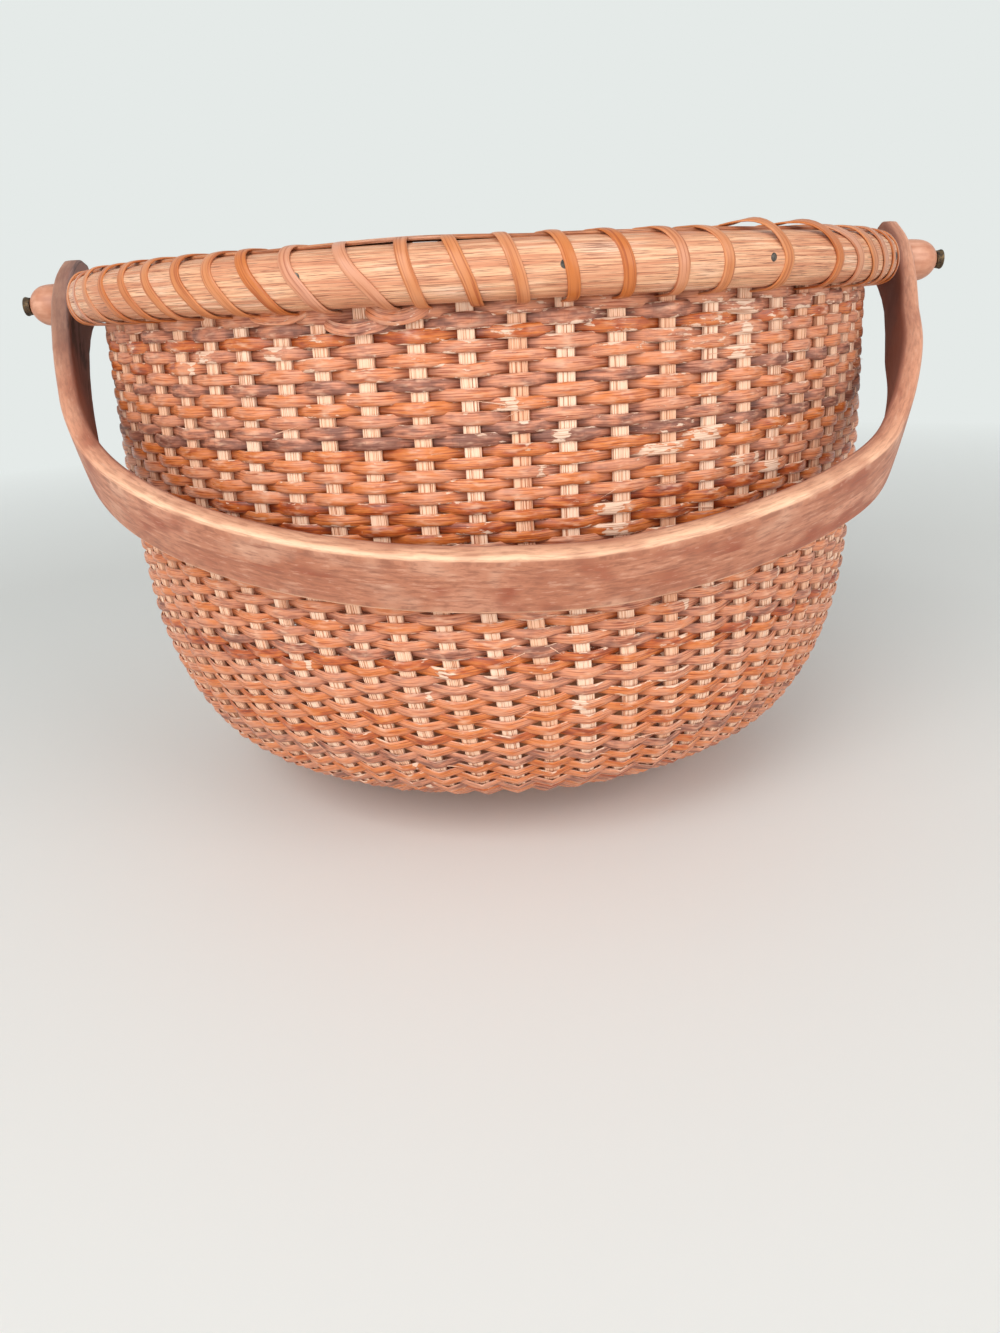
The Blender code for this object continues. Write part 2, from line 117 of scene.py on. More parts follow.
class Bundle:
    """Strips that end up in one mesh."""

    def __init__(self):
        self.points, self.corners, self.sizes, self.uvs, self.marks = [], [], [], [], []
        self.count = 0

    def sweep(self, line, outward, section, marks, closed=False, start=0.0):
        """Sweep a section of (across, out) metres, or one section for each point, along a line."""
        n = len(line)
        section = np.broadcast_to(section, (n, *np.shape(section)[-2:]))
        m = section.shape[1]
        if closed:
            tangent = np.roll(line, -1, 0) - np.roll(line, 1, 0)
        else:
            tangent = np.gradient(line, axis=0)
        tangent /= np.linalg.norm(tangent, axis=1, keepdims=True)
        across = np.cross(tangent, outward)
        across /= np.linalg.norm(across, axis=1, keepdims=True)
        out = np.cross(across, tangent)
        points = line[:, None] + across[:, None] * section[..., :1] + out[:, None] * section[..., 1:]
        lengths = lengths_along(np.vstack([line, line[:1]]) if closed else line) + start
        round_it = lengths_along(np.vstack([section[0], section[0][:1]]))
        quads, uv = faces_between(n, m, n if closed else n - 1, m, lengths, round_it)
        face = points.reshape(-1, 3)[quads[:m]]
        normal = np.cross(face[:, 2] - face[:, 0], face[:, 3] - face[:, 1])
        if np.sum(normal * (face.mean(1) - points[:2].mean((0, 1)))) < 0:
            quads, uv = quads[:, ::-1], uv[:, ::-1]
        marks = marks[:, None] if np.ndim(marks) == 2 else marks
        self.keep(points.reshape(-1, 3), quads, uv, np.broadcast_to(marks, (n, m, 3)).reshape(-1, 3))
        if not closed:
            for end, beside in ((0, 1), (n - 1, n - 2)):
                self.cap(self.count - (n - end) * m, points[end], points[beside], lengths[end], round_it)

    def keep(self, points, quads, uv, marks):
        """Add points and faces to the mesh."""
        self.points.append(points)
        self.corners.append(quads.reshape(-1) + self.count)
        self.sizes.append(np.full(len(quads), quads.shape[1]))
        self.uvs.append(uv.reshape(-1, 2))
        self.marks.append(np.broadcast_to(marks, (len(points), 3)))
        self.count += len(points)

    def cap(self, first, rim, beside, at, round_it):
        """Close one end of a strip with a single face that looks away from the points beside it."""
        ring = np.arange(first, first + len(rim))
        normal = np.sum(np.cross(rim, np.roll(rim, -1, 0)), 0)
        self.corners.append(ring if np.dot(normal, rim.mean(0) - beside.mean(0)) > 0 else ring[::-1])
        self.sizes.append(np.array([len(rim)]))
        self.uvs.append(np.c_[np.full(len(rim), at), round_it[:-1]])

    def as_object(self, name, angle=40):
        """Make the mesh object, smooth but for edges that turn by more than an angle in degrees."""
        mesh = bpy.data.meshes.new(name)
        points = np.vstack(self.points)
        corners, sizes = np.concatenate(self.corners), np.concatenate(self.sizes)
        mesh.vertices.add(len(points))
        mesh.vertices.foreach_set("co", points.astype(np.float32).ravel())
        mesh.loops.add(len(corners))
        mesh.loops.foreach_set("vertex_index", corners.astype(np.int32))
        mesh.polygons.add(len(sizes))
        mesh.polygons.foreach_set("loop_start", np.r_[0, np.cumsum(sizes)[:-1]].astype(np.int32))
        mesh.update(calc_edges=True)
        uvs = np.vstack(self.uvs).astype(np.float32)
        mesh.uv_layers.new(name="strip").data.foreach_set("uv", uvs.ravel())
        marks = np.c_[np.vstack(self.marks), np.ones(len(points))]
        mesh.color_attributes.new("marks", "FLOAT_COLOR", "POINT").data.foreach_set(
            "color", marks.astype(np.float32).ravel())
        mesh.validate()
        mesh.shade_smooth()
        mesh.set_sharp_from_angle(angle=math.radians(angle))
        obj = bpy.data.objects.new(name, mesh)
        bpy.context.scene.collection.objects.link(obj)
        return obj


def rounded(width, thick, share=0.35, crown=0.0):
    """Return the section of a flat strip with rounded edges, and a crown on its outer face."""
    w, t, e = width / 2, thick / 2, min(width, thick) * share
    crowned = t + 0.7 * crown
    return np.array([(-w, -t + e), (-w, t - e), (-w + e, t), (-w / 2, crowned), (0, t + crown),
                     (w / 2, crowned), (w - e, t), (w, t - e), (w, -t + e), (w - e, -t), (-w + e, -t)])


def polar(angle, radius, height):
    """Return points from angles in radians, radii and heights."""
    return np.stack(np.broadcast_arrays(radius * np.cos(angle), radius * np.sin(angle), height), -1)


# %% [markdown]
# ## Where the staves stand
# The basket is hand made, so the staves aren't evenly spaced. The angles across the front are
# judged from the photograph, and the rest are even. The count must be odd: a single weaver that
# climbs round and round then passes each stave on the other side at every turn.

# %% Angles of the staves in degrees, counted round from the right-hand pin
FRONT_STAVES = (217.3, 223.6, 229.6, 235.3, 240.8, 246.0, 251.1, 256.5, 262.3, 268.0, 273.4,
                278.9, 284.8, 291.0, 296.6, 302.1, 307.4, 312.5, 317.3, 321.9, 326.3, 330.6)
back_staves = [(i + 0.5) * 180 / 32 for i in range(32)]
left_staves = list(np.linspace(182.9, FRONT_STAVES[0], 7)[:-1])
right_staves = list(np.linspace(FRONT_STAVES[-1], 357.2, 6)[1:])
stave_degrees = np.array(back_staves + left_staves + list(FRONT_STAVES) + right_staves)
stave_angles = np.radians(stave_degrees)
STAVES = len(stave_angles)
print("staves:", STAVES)

# %% [markdown]
# ## Mixing paint
# Shader colours are linear light, while a maker picks colours on a screen. One small
# function turns those 0 to 255 values into linear ones.

# %% Turn paint into light


def paint(red, green, blue):
    """Turn a given colour into the linear one that shaders take."""
    share = [c / 255 for c in (red, green, blue)]
    return (*[c / 12.92 if c <= 0.04045 else ((c + 0.055) / 1.055) ** 2.4 for c in share], 1.0)


print("warm tan in linear light:", [round(c, 3) for c in paint(208, 146, 118)])

# %% [markdown]
# ## A bench for nodes
# A finish is a chain of shader nodes. They could be laid out by hand in the shader editor, but in a
# script each one takes several lines. The bench adds a node, feeds its sockets with values or
# links, and returns its result, so that a finish reads like a recipe.

# %% Short ways to add nodes


class Bench:
    """A node tree with short ways to add to it."""

    def __init__(self, tree):
        self.tree = tree

    def feed(self, socket, value):
        """Give a socket a link or a plain value."""
        if isinstance(value, bpy.types.NodeSocket):
            self.tree.links.new(value, socket)
        else:
            socket.default_value = value

    def place(self, kind, sockets=(), **settings):
        """Add a node, change its settings and feed its sockets."""
        new = self.tree.nodes.new(kind)
        for key, value in settings.items():
            setattr(new, key, value)
        for key, value in dict(sockets).items():
            self.feed(new.inputs[key], value)
        return new

    def calc(self, operation, a, b=0.0, c=0.0):
        """Add a Math node and return its result."""
        return self.place("ShaderNodeMath", {0: a, 1: b, 2: c}, operation=operation).outputs[0]

    def spread(self, value, low, high, to_low=0.0, to_high=1.0):
        """Stretch a value from one range to another, held at the ends."""
        return self.place("ShaderNodeMapRange", {"Value": value, "From Min": low, "From Max": high,
                                                 "To Min": to_low, "To Max": to_high}).outputs[0]

    def noise(self, vector, scale, detail=2.0, roughness=0.5):
        """Add a Noise Texture and return its value."""
        return self.place("ShaderNodeTexNoise", {"Vector": vector, "Scale": scale, "Detail": detail,
                                                 "Roughness": roughness}).outputs["Fac"]

    def mix(self, share, a, b, kind="MIX"):
        """Mix two colours and return the result."""
        mixed = self.place("ShaderNodeMix", {0: share, 6: a, 7: b}, data_type="RGBA", blend_type=kind)
        return mixed.outputs[2]

    def ramp(self, value, stops):
        """Turn a value into a colour through (position, colour) stops."""
        new = self.place("ShaderNodeValToRGB", {"Fac": value})
        elements = new.color_ramp.elements
        for position, colour in stops[1:-1]:
            elements.new(position).color = colour
        elements[0].position, elements[0].color = stops[0]
        elements[-1].position, elements[-1].color = stops[-1]
        return new.outputs["Color"]


# %% [markdown]
# ## Effects that several finishes share
# Split cane and bent wood show the same few things at different sizes: fibres that run along the
# strip, patches where the skin has worn off, and a drifting tone. Each is a group that is built
# once, reads the strip's own map in metres, and gives masks. The finishes mix colours from these.

# %% Start an effect


class Effect(Bench):
    """A shader node group that reads a strip's map, with named inputs and outputs."""

    def __init__(self, name, inputs, outputs):
        super().__init__(bpy.data.node_groups.new(name, "ShaderNodeTree"))
        add = self.tree.interface.new_socket
        for label, default in {"Along": 0.0, "Across": 0.0, **inputs, "Seed": 0.0}.items():
            add(label, in_out="INPUT", socket_type="NodeSocketFloat").default_value = default
        for label in outputs:
            add(label, in_out="OUTPUT", socket_type="NodeSocketFloat")
        self.given = self.place("NodeGroupInput").outputs
        self.result = self.place("NodeGroupOutput").inputs

    def where(self, length, height):
        """Return a place in the noise: the map stretched along and across, and moved on by the seed."""
        return self.place("ShaderNodeCombineXYZ", {
            0: self.calc("MULTIPLY", self.given["Along"], length),
            1: self.calc("MULTIPLY", self.given["Across"], height), 2: self.given["Seed"]}).outputs[0]


# %% Effect: fibres along a strip
fibres = Effect("fibres", {"Length": 120.0, "Fineness": 2500.0}, ("Streak", "Relief"))
where = fibres.where(fibres.given["Length"], fibres.given["Fineness"])
fine, coarse = fibres.noise(where, 1.0, 3.0, 0.6), fibres.noise(where, 0.31)
half_fine = fibres.calc("MULTIPLY", fine, 0.5)
fibres.feed(fibres.result["Streak"], fibres.spread(fine, 0.36, 0.66))
fibres.feed(fibres.result["Relief"], fibres.calc("MULTIPLY_ADD", coarse, 0.5, half_fine))

# %% Effect: patches where the skin is gone
patches = Effect("worn_patches", {"Length": 90.0, "Height": 240.0, "Amount": 0.2}, ("Mask",))
where = patches.where(patches.given["Length"], patches.given["Height"])
field = patches.calc("MULTIPLY_ADD", patches.noise(where, 4.5, 3.0, 0.7), 0.3, patches.noise(where, 1.0))
edge = patches.calc("SUBTRACT", 0.98, patches.calc("MULTIPLY", patches.given["Amount"], 0.5))
patches.feed(patches.result["Mask"], patches.spread(patches.calc("SUBTRACT", field, edge), -0.02, 0.02))

# %% Effect: slow drift of tone
drift = Effect("tone_drift", {"Tone": 0.5, "Length": 25.0, "Strength": 0.3}, ("Tone",))
where = drift.where(drift.given["Length"], drift.calc("MULTIPLY", drift.given["Length"], 4.0))
change = drift.calc("SUBTRACT", drift.noise(where, 1.0), 0.5)
drifted = drift.calc("MULTIPLY_ADD", change, drift.given["Strength"], drift.given["Tone"])
drift.feed(drift.result["Tone"], drifted)
print("effects:", [group.name for group in bpy.data.node_groups])

# %% [markdown]
# ## Starting a finish
# A finish is a material with the shader that Blender gives it. Height masks are laid on top of each
# other as bumps, because the finest relief would take too many faces. A finish for strips also
# reads the strip's map and the three marks that each point carries.

# %% Start a finish


class Finish(Bench):
    """A material and its shader."""

    def __init__(self, name):
        self.mat = bpy.data.materials.new(name)
        self.mat.use_nodes = True
        super().__init__(self.mat.node_tree)
        self.shader = self.tree.nodes["Principled BSDF"]

    def give(self, socket, value):
        """Give one of the shader's sockets a link or a plain value."""
        self.feed(self.shader.inputs[socket], value)

    def relief(self, height, depth):
        """Raise the surface by a height mask, a depth in metres at most, over what was raised before."""
        normal = self.shader.inputs["Normal"]
        sockets = {"Strength": 1.0, "Distance": depth, "Height": height}
        if normal.is_linked:
            sockets["Normal"] = normal.links[0].from_socket
        self.feed(normal, self.place("ShaderNodeBump", sockets).outputs[0])


class StripFinish(Finish):
    """A finish that reads the map and the marks of a strip."""

    def __init__(self, name):
        super().__init__(name)
        strip = self.place("ShaderNodeUVMap", uv_map="strip").outputs[0]
        self.along, self.across = self.place("ShaderNodeSeparateXYZ", {0: strip}).outputs[:2]
        marks = self.place("ShaderNodeAttribute", attribute_name="marks").outputs["Color"]
        self.tone, self.wear, self.depth = self.place("ShaderNodeSeparateColor", {0: marks}).outputs[:3]

    def use(self, effect, **sockets):
        """Place an effect on the strip and return its outputs."""
        sockets = {"Along": self.along, "Across": self.across, **sockets}
        return self.place("ShaderNodeGroup", sockets, node_tree=effect.tree).outputs


# %% [markdown]
# ## The staves
# Each stave is a flat split of pale wood, about 4 mm wide, that starts in a groove of the base and
# ends between the hoops. Its face shows a few fine grooves left by the splitting knife. An array
# would repeat one stave, but no two real ones are alike, so each is swept on its own. The grooves
# are cut into the section, so they catch light from any side, and the finest grain is in the finish.

# %% Build the staves
chance = np.random.default_rng(65)
STAVE_WIDTH, STAVE_FOOT, STAVE_THICK = 0.0041, 0.0035, 0.0015
STAVE_DEPTH = 0.00065 + STAVE_THICK / 2
FULL_WIDTH_AT = 0.1
STAVE_START, STAVE_END = (0.0492, 0.0053), (HOOP_FACE - 0.0009, 0.1590)
TWIST, TWIST_TOP = math.radians(4.1), 0.11
WANDER = 0.00022


def twist_at(height):
    """Return how far round, in radians, the staves stand at a height. They start askew at the base."""
    x = np.clip(height / TWIST_TOP, 0, 1)
    return TWIST * (1 - x * x * (3 - 2 * x))


def stave_section(width):
    """Return the section of one stave with a few grooves at random places."""
    half, thick = width / 2, STAVE_THICK / 2
    grooves = np.sort(chance.uniform(-0.7, 0.7, 3))
    face = [(-1.0, 0.6), (-0.9, 0.94)]
    for g in grooves:
        cut = chance.uniform(0.05, 0.18)
        face += [(g - 0.06, 1.0), (g, 1.0 - cut), (g + 0.06, 1.0)]
    face += [(0.9, 0.94), (1.0, 0.6)]
    back = [(1.0, -0.6), (0.9, -1.0), (-0.9, -1.0), (-1.0, -0.6)]
    face.sort(key=lambda p: p[0])
    return np.array([(x * half, y * thick) for x, y in face + back])


staves = Bundle()
up = np.r_[np.linspace(0.0008, 0.06, 34), np.linspace(0.063, wall_length[-1] - 0.002, 40)]
for angle in stave_angles:
    section = stave_section(STAVE_WIDTH)
    r, z, dr, dz = wall_at(up, STAVE_DEPTH)
    r, z = np.r_[STAVE_START[0], r, STAVE_END[0]], np.r_[STAVE_START[1], z, STAVE_END[1]]
    dr, dz = np.r_[1.0, dr, 0.0], np.r_[0.0, dz, 1.0]
    wander = np.interp(np.arange(len(r)), np.linspace(0, len(r) - 1, 6), chance.normal(0, WANDER, 6))
    line = polar(angle + twist_at(z) + wander / r, r, z)
    outward = polar(angle + twist_at(z), dz, -dr)
    width = np.interp(r, [BASE_RADIUS, FULL_WIDTH_AT], [STAVE_FOOT / STAVE_WIDTH, 1.0])
    width *= chance.uniform(0.94, 1.04)
    sections = section[None] * np.stack([width, np.ones_like(width)], -1)[:, None]
    marks = np.array([chance.uniform(0, 1), 0.0, 0.0])
    staves.sweep(line, outward, sections, marks, start=chance.uniform(0, 9))
staves = staves.as_object("staves", 30)
print("staves faces:", len(staves.data.polygons))

# %% [markdown]
# The finish of the staves is pale straw with a few fine darker lines along the grain, a little
# darker where dirt has settled in the pores.

# %% Finish: pale split wood of the staves
finish = StripFinish("stave_cane")
stave_cane = finish.mat
grain = finish.use(fibres, Length=34.0, Fineness=4200.0, Seed=finish.calc("MULTIPLY", finish.tone, 40.0))
tone = finish.use(drift, Tone=finish.tone, Length=60.0, Strength=0.9)
wood = finish.ramp(tone["Tone"], [(0.0, paint(234, 182, 148)), (0.45, paint(246, 202, 170)),
                                  (1.0, paint(250, 216, 190))])
lines = finish.ramp(grain["Streak"], [(0.0, paint(168, 112, 84)), (0.24, paint(232, 200, 180)),
                                      (0.46, paint(255, 255, 255))])
finish.give("Base Color", finish.mix(1.0, wood, lines, "MULTIPLY"))
finish.give("Roughness", finish.spread(grain["Streak"], 0, 1, 0.72, 0.55))
finish.relief(grain["Relief"], 0.00016)
staves.data.materials.append(stave_cane)
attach(staves, "basket")
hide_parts("stave_cage")

# %% [markdown]
# ## The weaver
# A weaver is a thin flat strip of cane with a slightly domed skin. It climbs the wall in one long
# spiral of 75 turns, over one stave and under the next. A woven picture on a smooth wall would be
# lighter to draw, but it looks flat from the side, so the strip is made as it is woven. Its line has
# three parts: the angle through the staves, the distance up the wall, and the depth, which swings
# from the outside of one stave to the inside of the next. The turns are packed closer near the base,
# where the strip also bends harder round the staves and dips to a point in the gaps. Real cane has
# uneven width and never lies quite level, so both get a small random change at each stave.

# %% Line of the weaver
COURSES = 75
STEPS = 8
WEAVER_THICK = 0.00080
WEAVER_SWING = 0.00115
WEAVE_MIDDLE = 0.00135
WEAVER_HALF_WIDTH = 0.00140
BASE_PITCH, PITCH_GAIN = 0.955, 0.145
LOWER_ZONE, LOWER_BLEND, POINT_DIP = 0.085, 0.06, 0.00085
crossings = COURSES * STAVES
first_course, last_course = 0.0013, wall_length[-1] - 0.0002
chance = np.random.default_rng(75)
lift_noise, width_noise, swing_noise, bow_noise = [
    chance.normal(0, size, crossings + 1) for size in (0.00014, 0.05, 0.00005, 0.00010)]

place_of = np.arange(crossings * STEPS + 1) / STEPS
index = np.minimum(place_of.astype(int), crossings - 1)
share = place_of - index
here, there = index % STAVES, (index + 1) % STAVES
gap = (stave_angles[there] - stave_angles[here]) % (2 * math.pi)
turn_of = 2 * math.pi * (index // STAVES)
climb = place_of / crossings
mean_pitch = BASE_PITCH + PITCH_GAIN / 3
pitch = (BASE_PITCH + PITCH_GAIN * climb ** 2) / mean_pitch
climb = (BASE_PITCH * climb + PITCH_GAIN * climb ** 3 / 3) / mean_pitch
distance = first_course + climb * (last_course - first_course)
radius_here = np.interp(distance, wall_length, wall_line[:, 0])
height_here = np.interp(distance, wall_length, wall_line[:, 1])
theta = stave_angles[here] + turn_of + share * gap + twist_at(height_here)
stave_width = np.interp(radius_here, [BASE_RADIUS, FULL_WIDTH_AT], [STAVE_FOOT, STAVE_WIDTH])
stave_share = stave_width / (2 * gap * radius_here)
lower = np.clip((LOWER_ZONE - height_here) / LOWER_BLEND, 0, 1)
rest_share = 0.8 * stave_share * (1 - 0.9 * lower)
phase = np.clip((share - rest_share) / (1 - 2 * rest_share), 0, 1)
side = np.where(index % 2 == 0, 1.0, -1.0)
bend = 0.5 - 0.5 * lower
swing = side * (bend * np.cos(math.pi * phase) + (1 - bend) * (1 - 2 * phase))


def between(values):
    """Carry values given at the staves smoothly over the gaps."""
    ease = share * share * (3 - 2 * share)
    return values[index] * (1 - ease) + values[index + 1] * ease


depth = WEAVE_MIDDLE - swing * (WEAVER_SWING * (1 + 0.2 * lower) + between(swing_noise))
distance = distance + between(lift_noise) + between(bow_noise) * np.sin(math.pi * share)
distance = distance - POINT_DIP * lower * side * (1 - 2 * share)
r, z, dr, dz = wall_at(distance, depth)
weaver_line = polar(theta, r, z)
weaver_out = polar(theta, dz, -dr)
top_turns = np.clip(place_of / STAVES - COURSES + 2.2, 0, 1)
weaver_width = (WEAVER_HALF_WIDTH + 0.00007 * swing) * pitch * (1 + between(width_noise))
weaver_width = weaver_width * (1 + 0.05 * lower + 0.15 * top_turns)
run = lengths_along(weaver_line)
print("weaver length in m:", round(run[-1], 1), "crossings:", crossings)

# %% [markdown]
# Weavers are joined from many lengths, and each length comes from another part of the vine. The
# tone therefore jumps where a new length starts and drifts slowly within one. Most joins are made
# at the back, and a join shows as a short pale end beside a stave. The tones are drawn at random,
# but for a few dark turns that are counted down from the rim. The marks carry the tone, the share
# of worn skin, which is highest along the strip's two edges and on the top turns, where it also
# stands for painted glints, and the depth, from which the finish paints shade in the deep parts. A
# few weavers have lost their skin for the length of one stave gap, most of them at the right front.
# Each such spot is given by its angle round the wall, its height and its half length in stave gaps,
# and it is moved to the nearest place where a weaver runs over a stave.

# %% Tones of the weaver
chance = np.random.default_rng(7)
TONES = (0.06, 0.18, 0.33, 0.45, 0.60, 0.72, 0.85, 0.95)
TONE_WEIGHTS = (0.03, 0.08, 0.14, 0.22, 0.25, 0.16, 0.10, 0.02)
DARK_TURNS = {0: 0.70, 1: 0.86, 2: 0.22, 6: 0.88, 10: 0.86, 11: 0.97, 17: 0.16}
joins, tones = [0], [0.5]
for turn_number in range(COURSES):
    drawn = float(chance.choice(TONES, p=TONE_WEIGHTS))
    new_tone = DARK_TURNS.get(COURSES - 1 - turn_number, drawn)
    starts = [chance.uniform(0.05, 0.45)] + ([chance.uniform(0.55, 0.95)] if chance.uniform() < 0.3 else [])
    for start in starts:
        joins.append(2 * int((turn_number + start) * STAVES / 2))
        tones.append(new_tone)
        new_tone = float(chance.choice(TONES, p=TONE_WEIGHTS))
piece = np.searchsorted(joins, place_of, side="right") - 1
tone = np.array(tones)[piece] + between(chance.normal(0, 0.035, crossings + 1))
from_join = place_of - np.array(joins)[piece]
pale_end = (from_join > 0.28) & (from_join < 0.50) & (piece > 0)
height_share = distance / wall_length[-1]
right_front = np.clip(np.cos(theta - math.radians(305)), 0, 1) ** 2
# The extra pale marks on the top turns are partly worn skin and partly painted glints.
wear = 0.08 + 0.14 * right_front * (height_share > 0.45) + 0.12 * (height_share > 0.93)
chips = between(np.where(chance.uniform(0, 1, crossings + 1) < 0.012, 0.5, 0.0)) ** 2
wear = wear + between(np.clip(chance.normal(0, 0.08, crossings + 1), -0.1, 0.3)) + chips
wear = np.where(pale_end, 1.0, wear)
BARE_DEPTH, BARE_FALL = 0.80, 0.7
BARE_SPOTS = ((301.0, 0.1530, 0.45), (300.2, 0.1485, 0.30), (299.6, 0.1430, 0.40), (296.0, 0.1200, 0.42),
              (291.2, 0.1175, 0.55), (307.9, 0.1100, 0.45), (281.9, 0.1065, 0.36), (282.5, 0.1020, 0.40),
              (301.0, 0.1125, 0.22), (233.4, 0.1470, 0.30), (274.0, 0.1505, 0.18), (273.1, 0.1345, 0.20),
              (276.3, 0.1245, 0.22), (266.3, 0.0695, 0.22), (278.9, 0.0555, 0.20), (247.3, 0.1465, 0.22))
over = np.arange(0, crossings, 2) * STEPS
for degrees, height, half_length in BARE_SPOTS:
    sideways = np.angle(np.exp(1j * (theta[over] - math.radians(degrees)))) * radius_here[over]
    nearest = over[np.argmin(np.hypot(sideways, height_here[over] - height))] / STEPS
    from_spot = (place_of - nearest + 0.20) / (1.3 * half_length)
    wear = np.maximum(wear, BARE_DEPTH - BARE_FALL * from_spot ** 2)
inner = np.clip(0.5 - swing / 2, 0, 1)
print("lengths joined:", len(joins) - 1)

# %% [markdown]
# The long weaver is cut into 19 pieces of about four turns, because a shared part is easier to
# handle in meshes of moderate size. The cuts fall under a stave, where they don't show.

# %% Build the weaver
STRIP = np.array([(-1.0, -0.40), (-0.95, 0.2), (-0.78, 0.62), (-0.4, 0.91), (0.0, 1.0), (0.4, 0.91),
                  (0.78, 0.62), (0.95, 0.2), (1.0, -0.40), (0.8, -1.0), (-0.8, -1.0)])
# Along the two edges the pale marks are frayed, worn skin and partly painted glints.
EDGE = np.array([0.34, 0.34, 0.12, 0, 0, 0, 0.12, 0.34, 0.34, 0, 0])
weaver_marks = np.stack(np.broadcast_arrays(tone[:, None], wear[:, None] + EDGE, inner[:, None]), -1)
weaver_pieces = []
cuts = [2 * int(c / 2) + 1 for c in np.linspace(0, crossings, 20)]
cuts[0], cuts[-1] = 0, crossings
for number, (a, b) in enumerate(zip(cuts, cuts[1:]), 1):
    part = slice(a * STEPS, b * STEPS + 1)
    sizes = np.stack([weaver_width[part], np.full(len(weaver_width[part]), WEAVER_THICK / 2)], -1)
    bundle = Bundle()
    bundle.sweep(weaver_line[part], weaver_out[part], STRIP[None] * sizes[:, None], weaver_marks[part],
                 start=run[a * STEPS])
    weaver_pieces.append(bundle.as_object(f"weaver_{number:02d}", 50))
print("weaver pieces:", len(weaver_pieces), "faces:", sum(len(p.data.polygons) for p in weaver_pieces))

# %% [markdown]
# Cane skin is waxy: the orange and red-brown lengths keep a gloss, the salmon and mauve ones have
# gone dull, and where the skin chips off the pale core shows. The finish picks its colour from the
# tone mark, lays fine fibres over it, rubs it paler where it bulges over a stave, paints a highlight
# along its upper edge and shade along its lower edge, and opens worn patches, mostly thin lines along
# the edges. Those pale edge lines, and the extra pale marks on the top turns, are partly worn skin
# and partly painted glints. Where the strip lies deep behind a stave it is darkened with painted
# shade. Across the strip run tiny cracks. The edges are found on the strip's map, by metres round the
# section.

# %% Finish: skin of the weaver
finish = StripFinish("weaver_cane")
weaver_cane = finish.mat
tone = finish.use(drift, Tone=finish.tone, Length=120.0, Strength=0.42)
mottle = finish.use(drift, Tone=0.5, Length=210.0, Strength=1.6, Seed=17.0)
mixed = finish.calc("ADD", tone["Tone"], finish.spread(mottle["Tone"], 0.25, 0.75, -0.14, 0.14))
skin = finish.ramp(mixed, [
    (0.0, paint(152, 70, 38)), (0.15, paint(194, 98, 46)), (0.33, paint(218, 128, 64)),
    (0.5, paint(226, 142, 94)), (0.62, paint(226, 154, 116)), (0.78, paint(212, 144, 114)),
    (0.9, paint(174, 116, 94)), (1.0, paint(142, 92, 76))])
grain = finish.use(fibres, Length=90.0, Fineness=3400.0, Seed=3.0)
lines = finish.ramp(grain["Streak"], [(0.0, paint(182, 140, 116)), (0.45, paint(244, 236, 230)),
                                      (1.0, paint(255, 255, 255))])
skin = finish.mix(1.0, skin, lines, "MULTIPLY")
over_stave = finish.calc("POWER", finish.calc("SUBTRACT", 1.0, finish.depth), 5.0)
rubbed = finish.use(drift, Tone=0.5, Length=260.0, Strength=2.4, Seed=11.0)
rub = finish.calc("MULTIPLY", over_stave, finish.spread(rubbed["Tone"], 0.5, 1.0, 0.0, 0.6))
skin = finish.mix(rub, skin, paint(238, 190, 160))
# Painted highlight: a pale band along the strip's upper edge, where light from above falls, broken up by a
# patchy drift.
painted_top_highlight = finish.spread(finish.across, 0.00034, 0.00012, 0.0, 0.38)
painted_top_highlight = finish.calc("MULTIPLY", painted_top_highlight, finish.spread(rubbed["Tone"], 0.2, 0.6))
skin = finish.mix(painted_top_highlight, skin, paint(246, 208, 182))
# Painted shade: a dark band along the strip's lower edge.
painted_under_shade = finish.spread(finish.across, 0.0022, 0.0029, 0.0, 0.34)
skin = finish.mix(painted_under_shade, skin, paint(112, 56, 38))
worn = finish.use(patches, Length=260.0, Height=950.0, Amount=finish.wear, Seed=5.0)
# Where the skin is worn the pale core shows; along the edges and on the top turns the same pale colour is
# partly painted glints.
pale_core_and_glints = finish.mix(1.0, paint(252, 226, 204), lines, "MULTIPLY")
skin = finish.mix(finish.calc("MULTIPLY", worn["Mask"], 0.84), skin, pale_core_and_glints)
cracks = finish.use(fibres, Length=1500.0, Fineness=260.0, Seed=9.0)
dull = finish.spread(tone["Tone"], 0.45, 0.70)
ticks = finish.calc("MULTIPLY", finish.spread(cracks["Streak"], 0.12, 0.0, 0.0, 0.28),
                    finish.spread(tone["Tone"], 0.7, 0.95))
skin = finish.mix(ticks, skin, paint(110, 68, 56))
# Painted shade: the strip is darkened where it lies deep behind a stave.
painted_recess_shade = finish.spread(finish.depth, 0.5, 1.0, 0.0, 0.62)
skin = finish.mix(painted_recess_shade, skin, finish.mix(1.0, skin, paint(150, 96, 72), "MULTIPLY"))
finish.give("Base Color", skin)
gloss = finish.calc("MULTIPLY_ADD", dull, 0.20, finish.spread(grain["Streak"], 0, 1, 0.34, 0.26))
finish.give("Roughness", finish.calc("MULTIPLY_ADD", worn["Mask"], 0.15, gloss))
finish.relief(grain["Relief"], 0.00014)
finish.relief(cracks["Relief"], 0.00006)
finish.relief(worn["Mask"], -0.00005)
for obj in weaver_pieces:
    obj.data.materials.append(weaver_cane)
    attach(obj, "basket")
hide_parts("woven_wall")
print("finishes:", [m.name for m in bpy.data.materials])

# %% [markdown]
# ### Loose ends
# Three weaver ends have come loose under the rim, at the left. Each is given by its angles and
# heights on the wall. It hangs in a shallow bow in front of the weave, and both its tips tuck in.

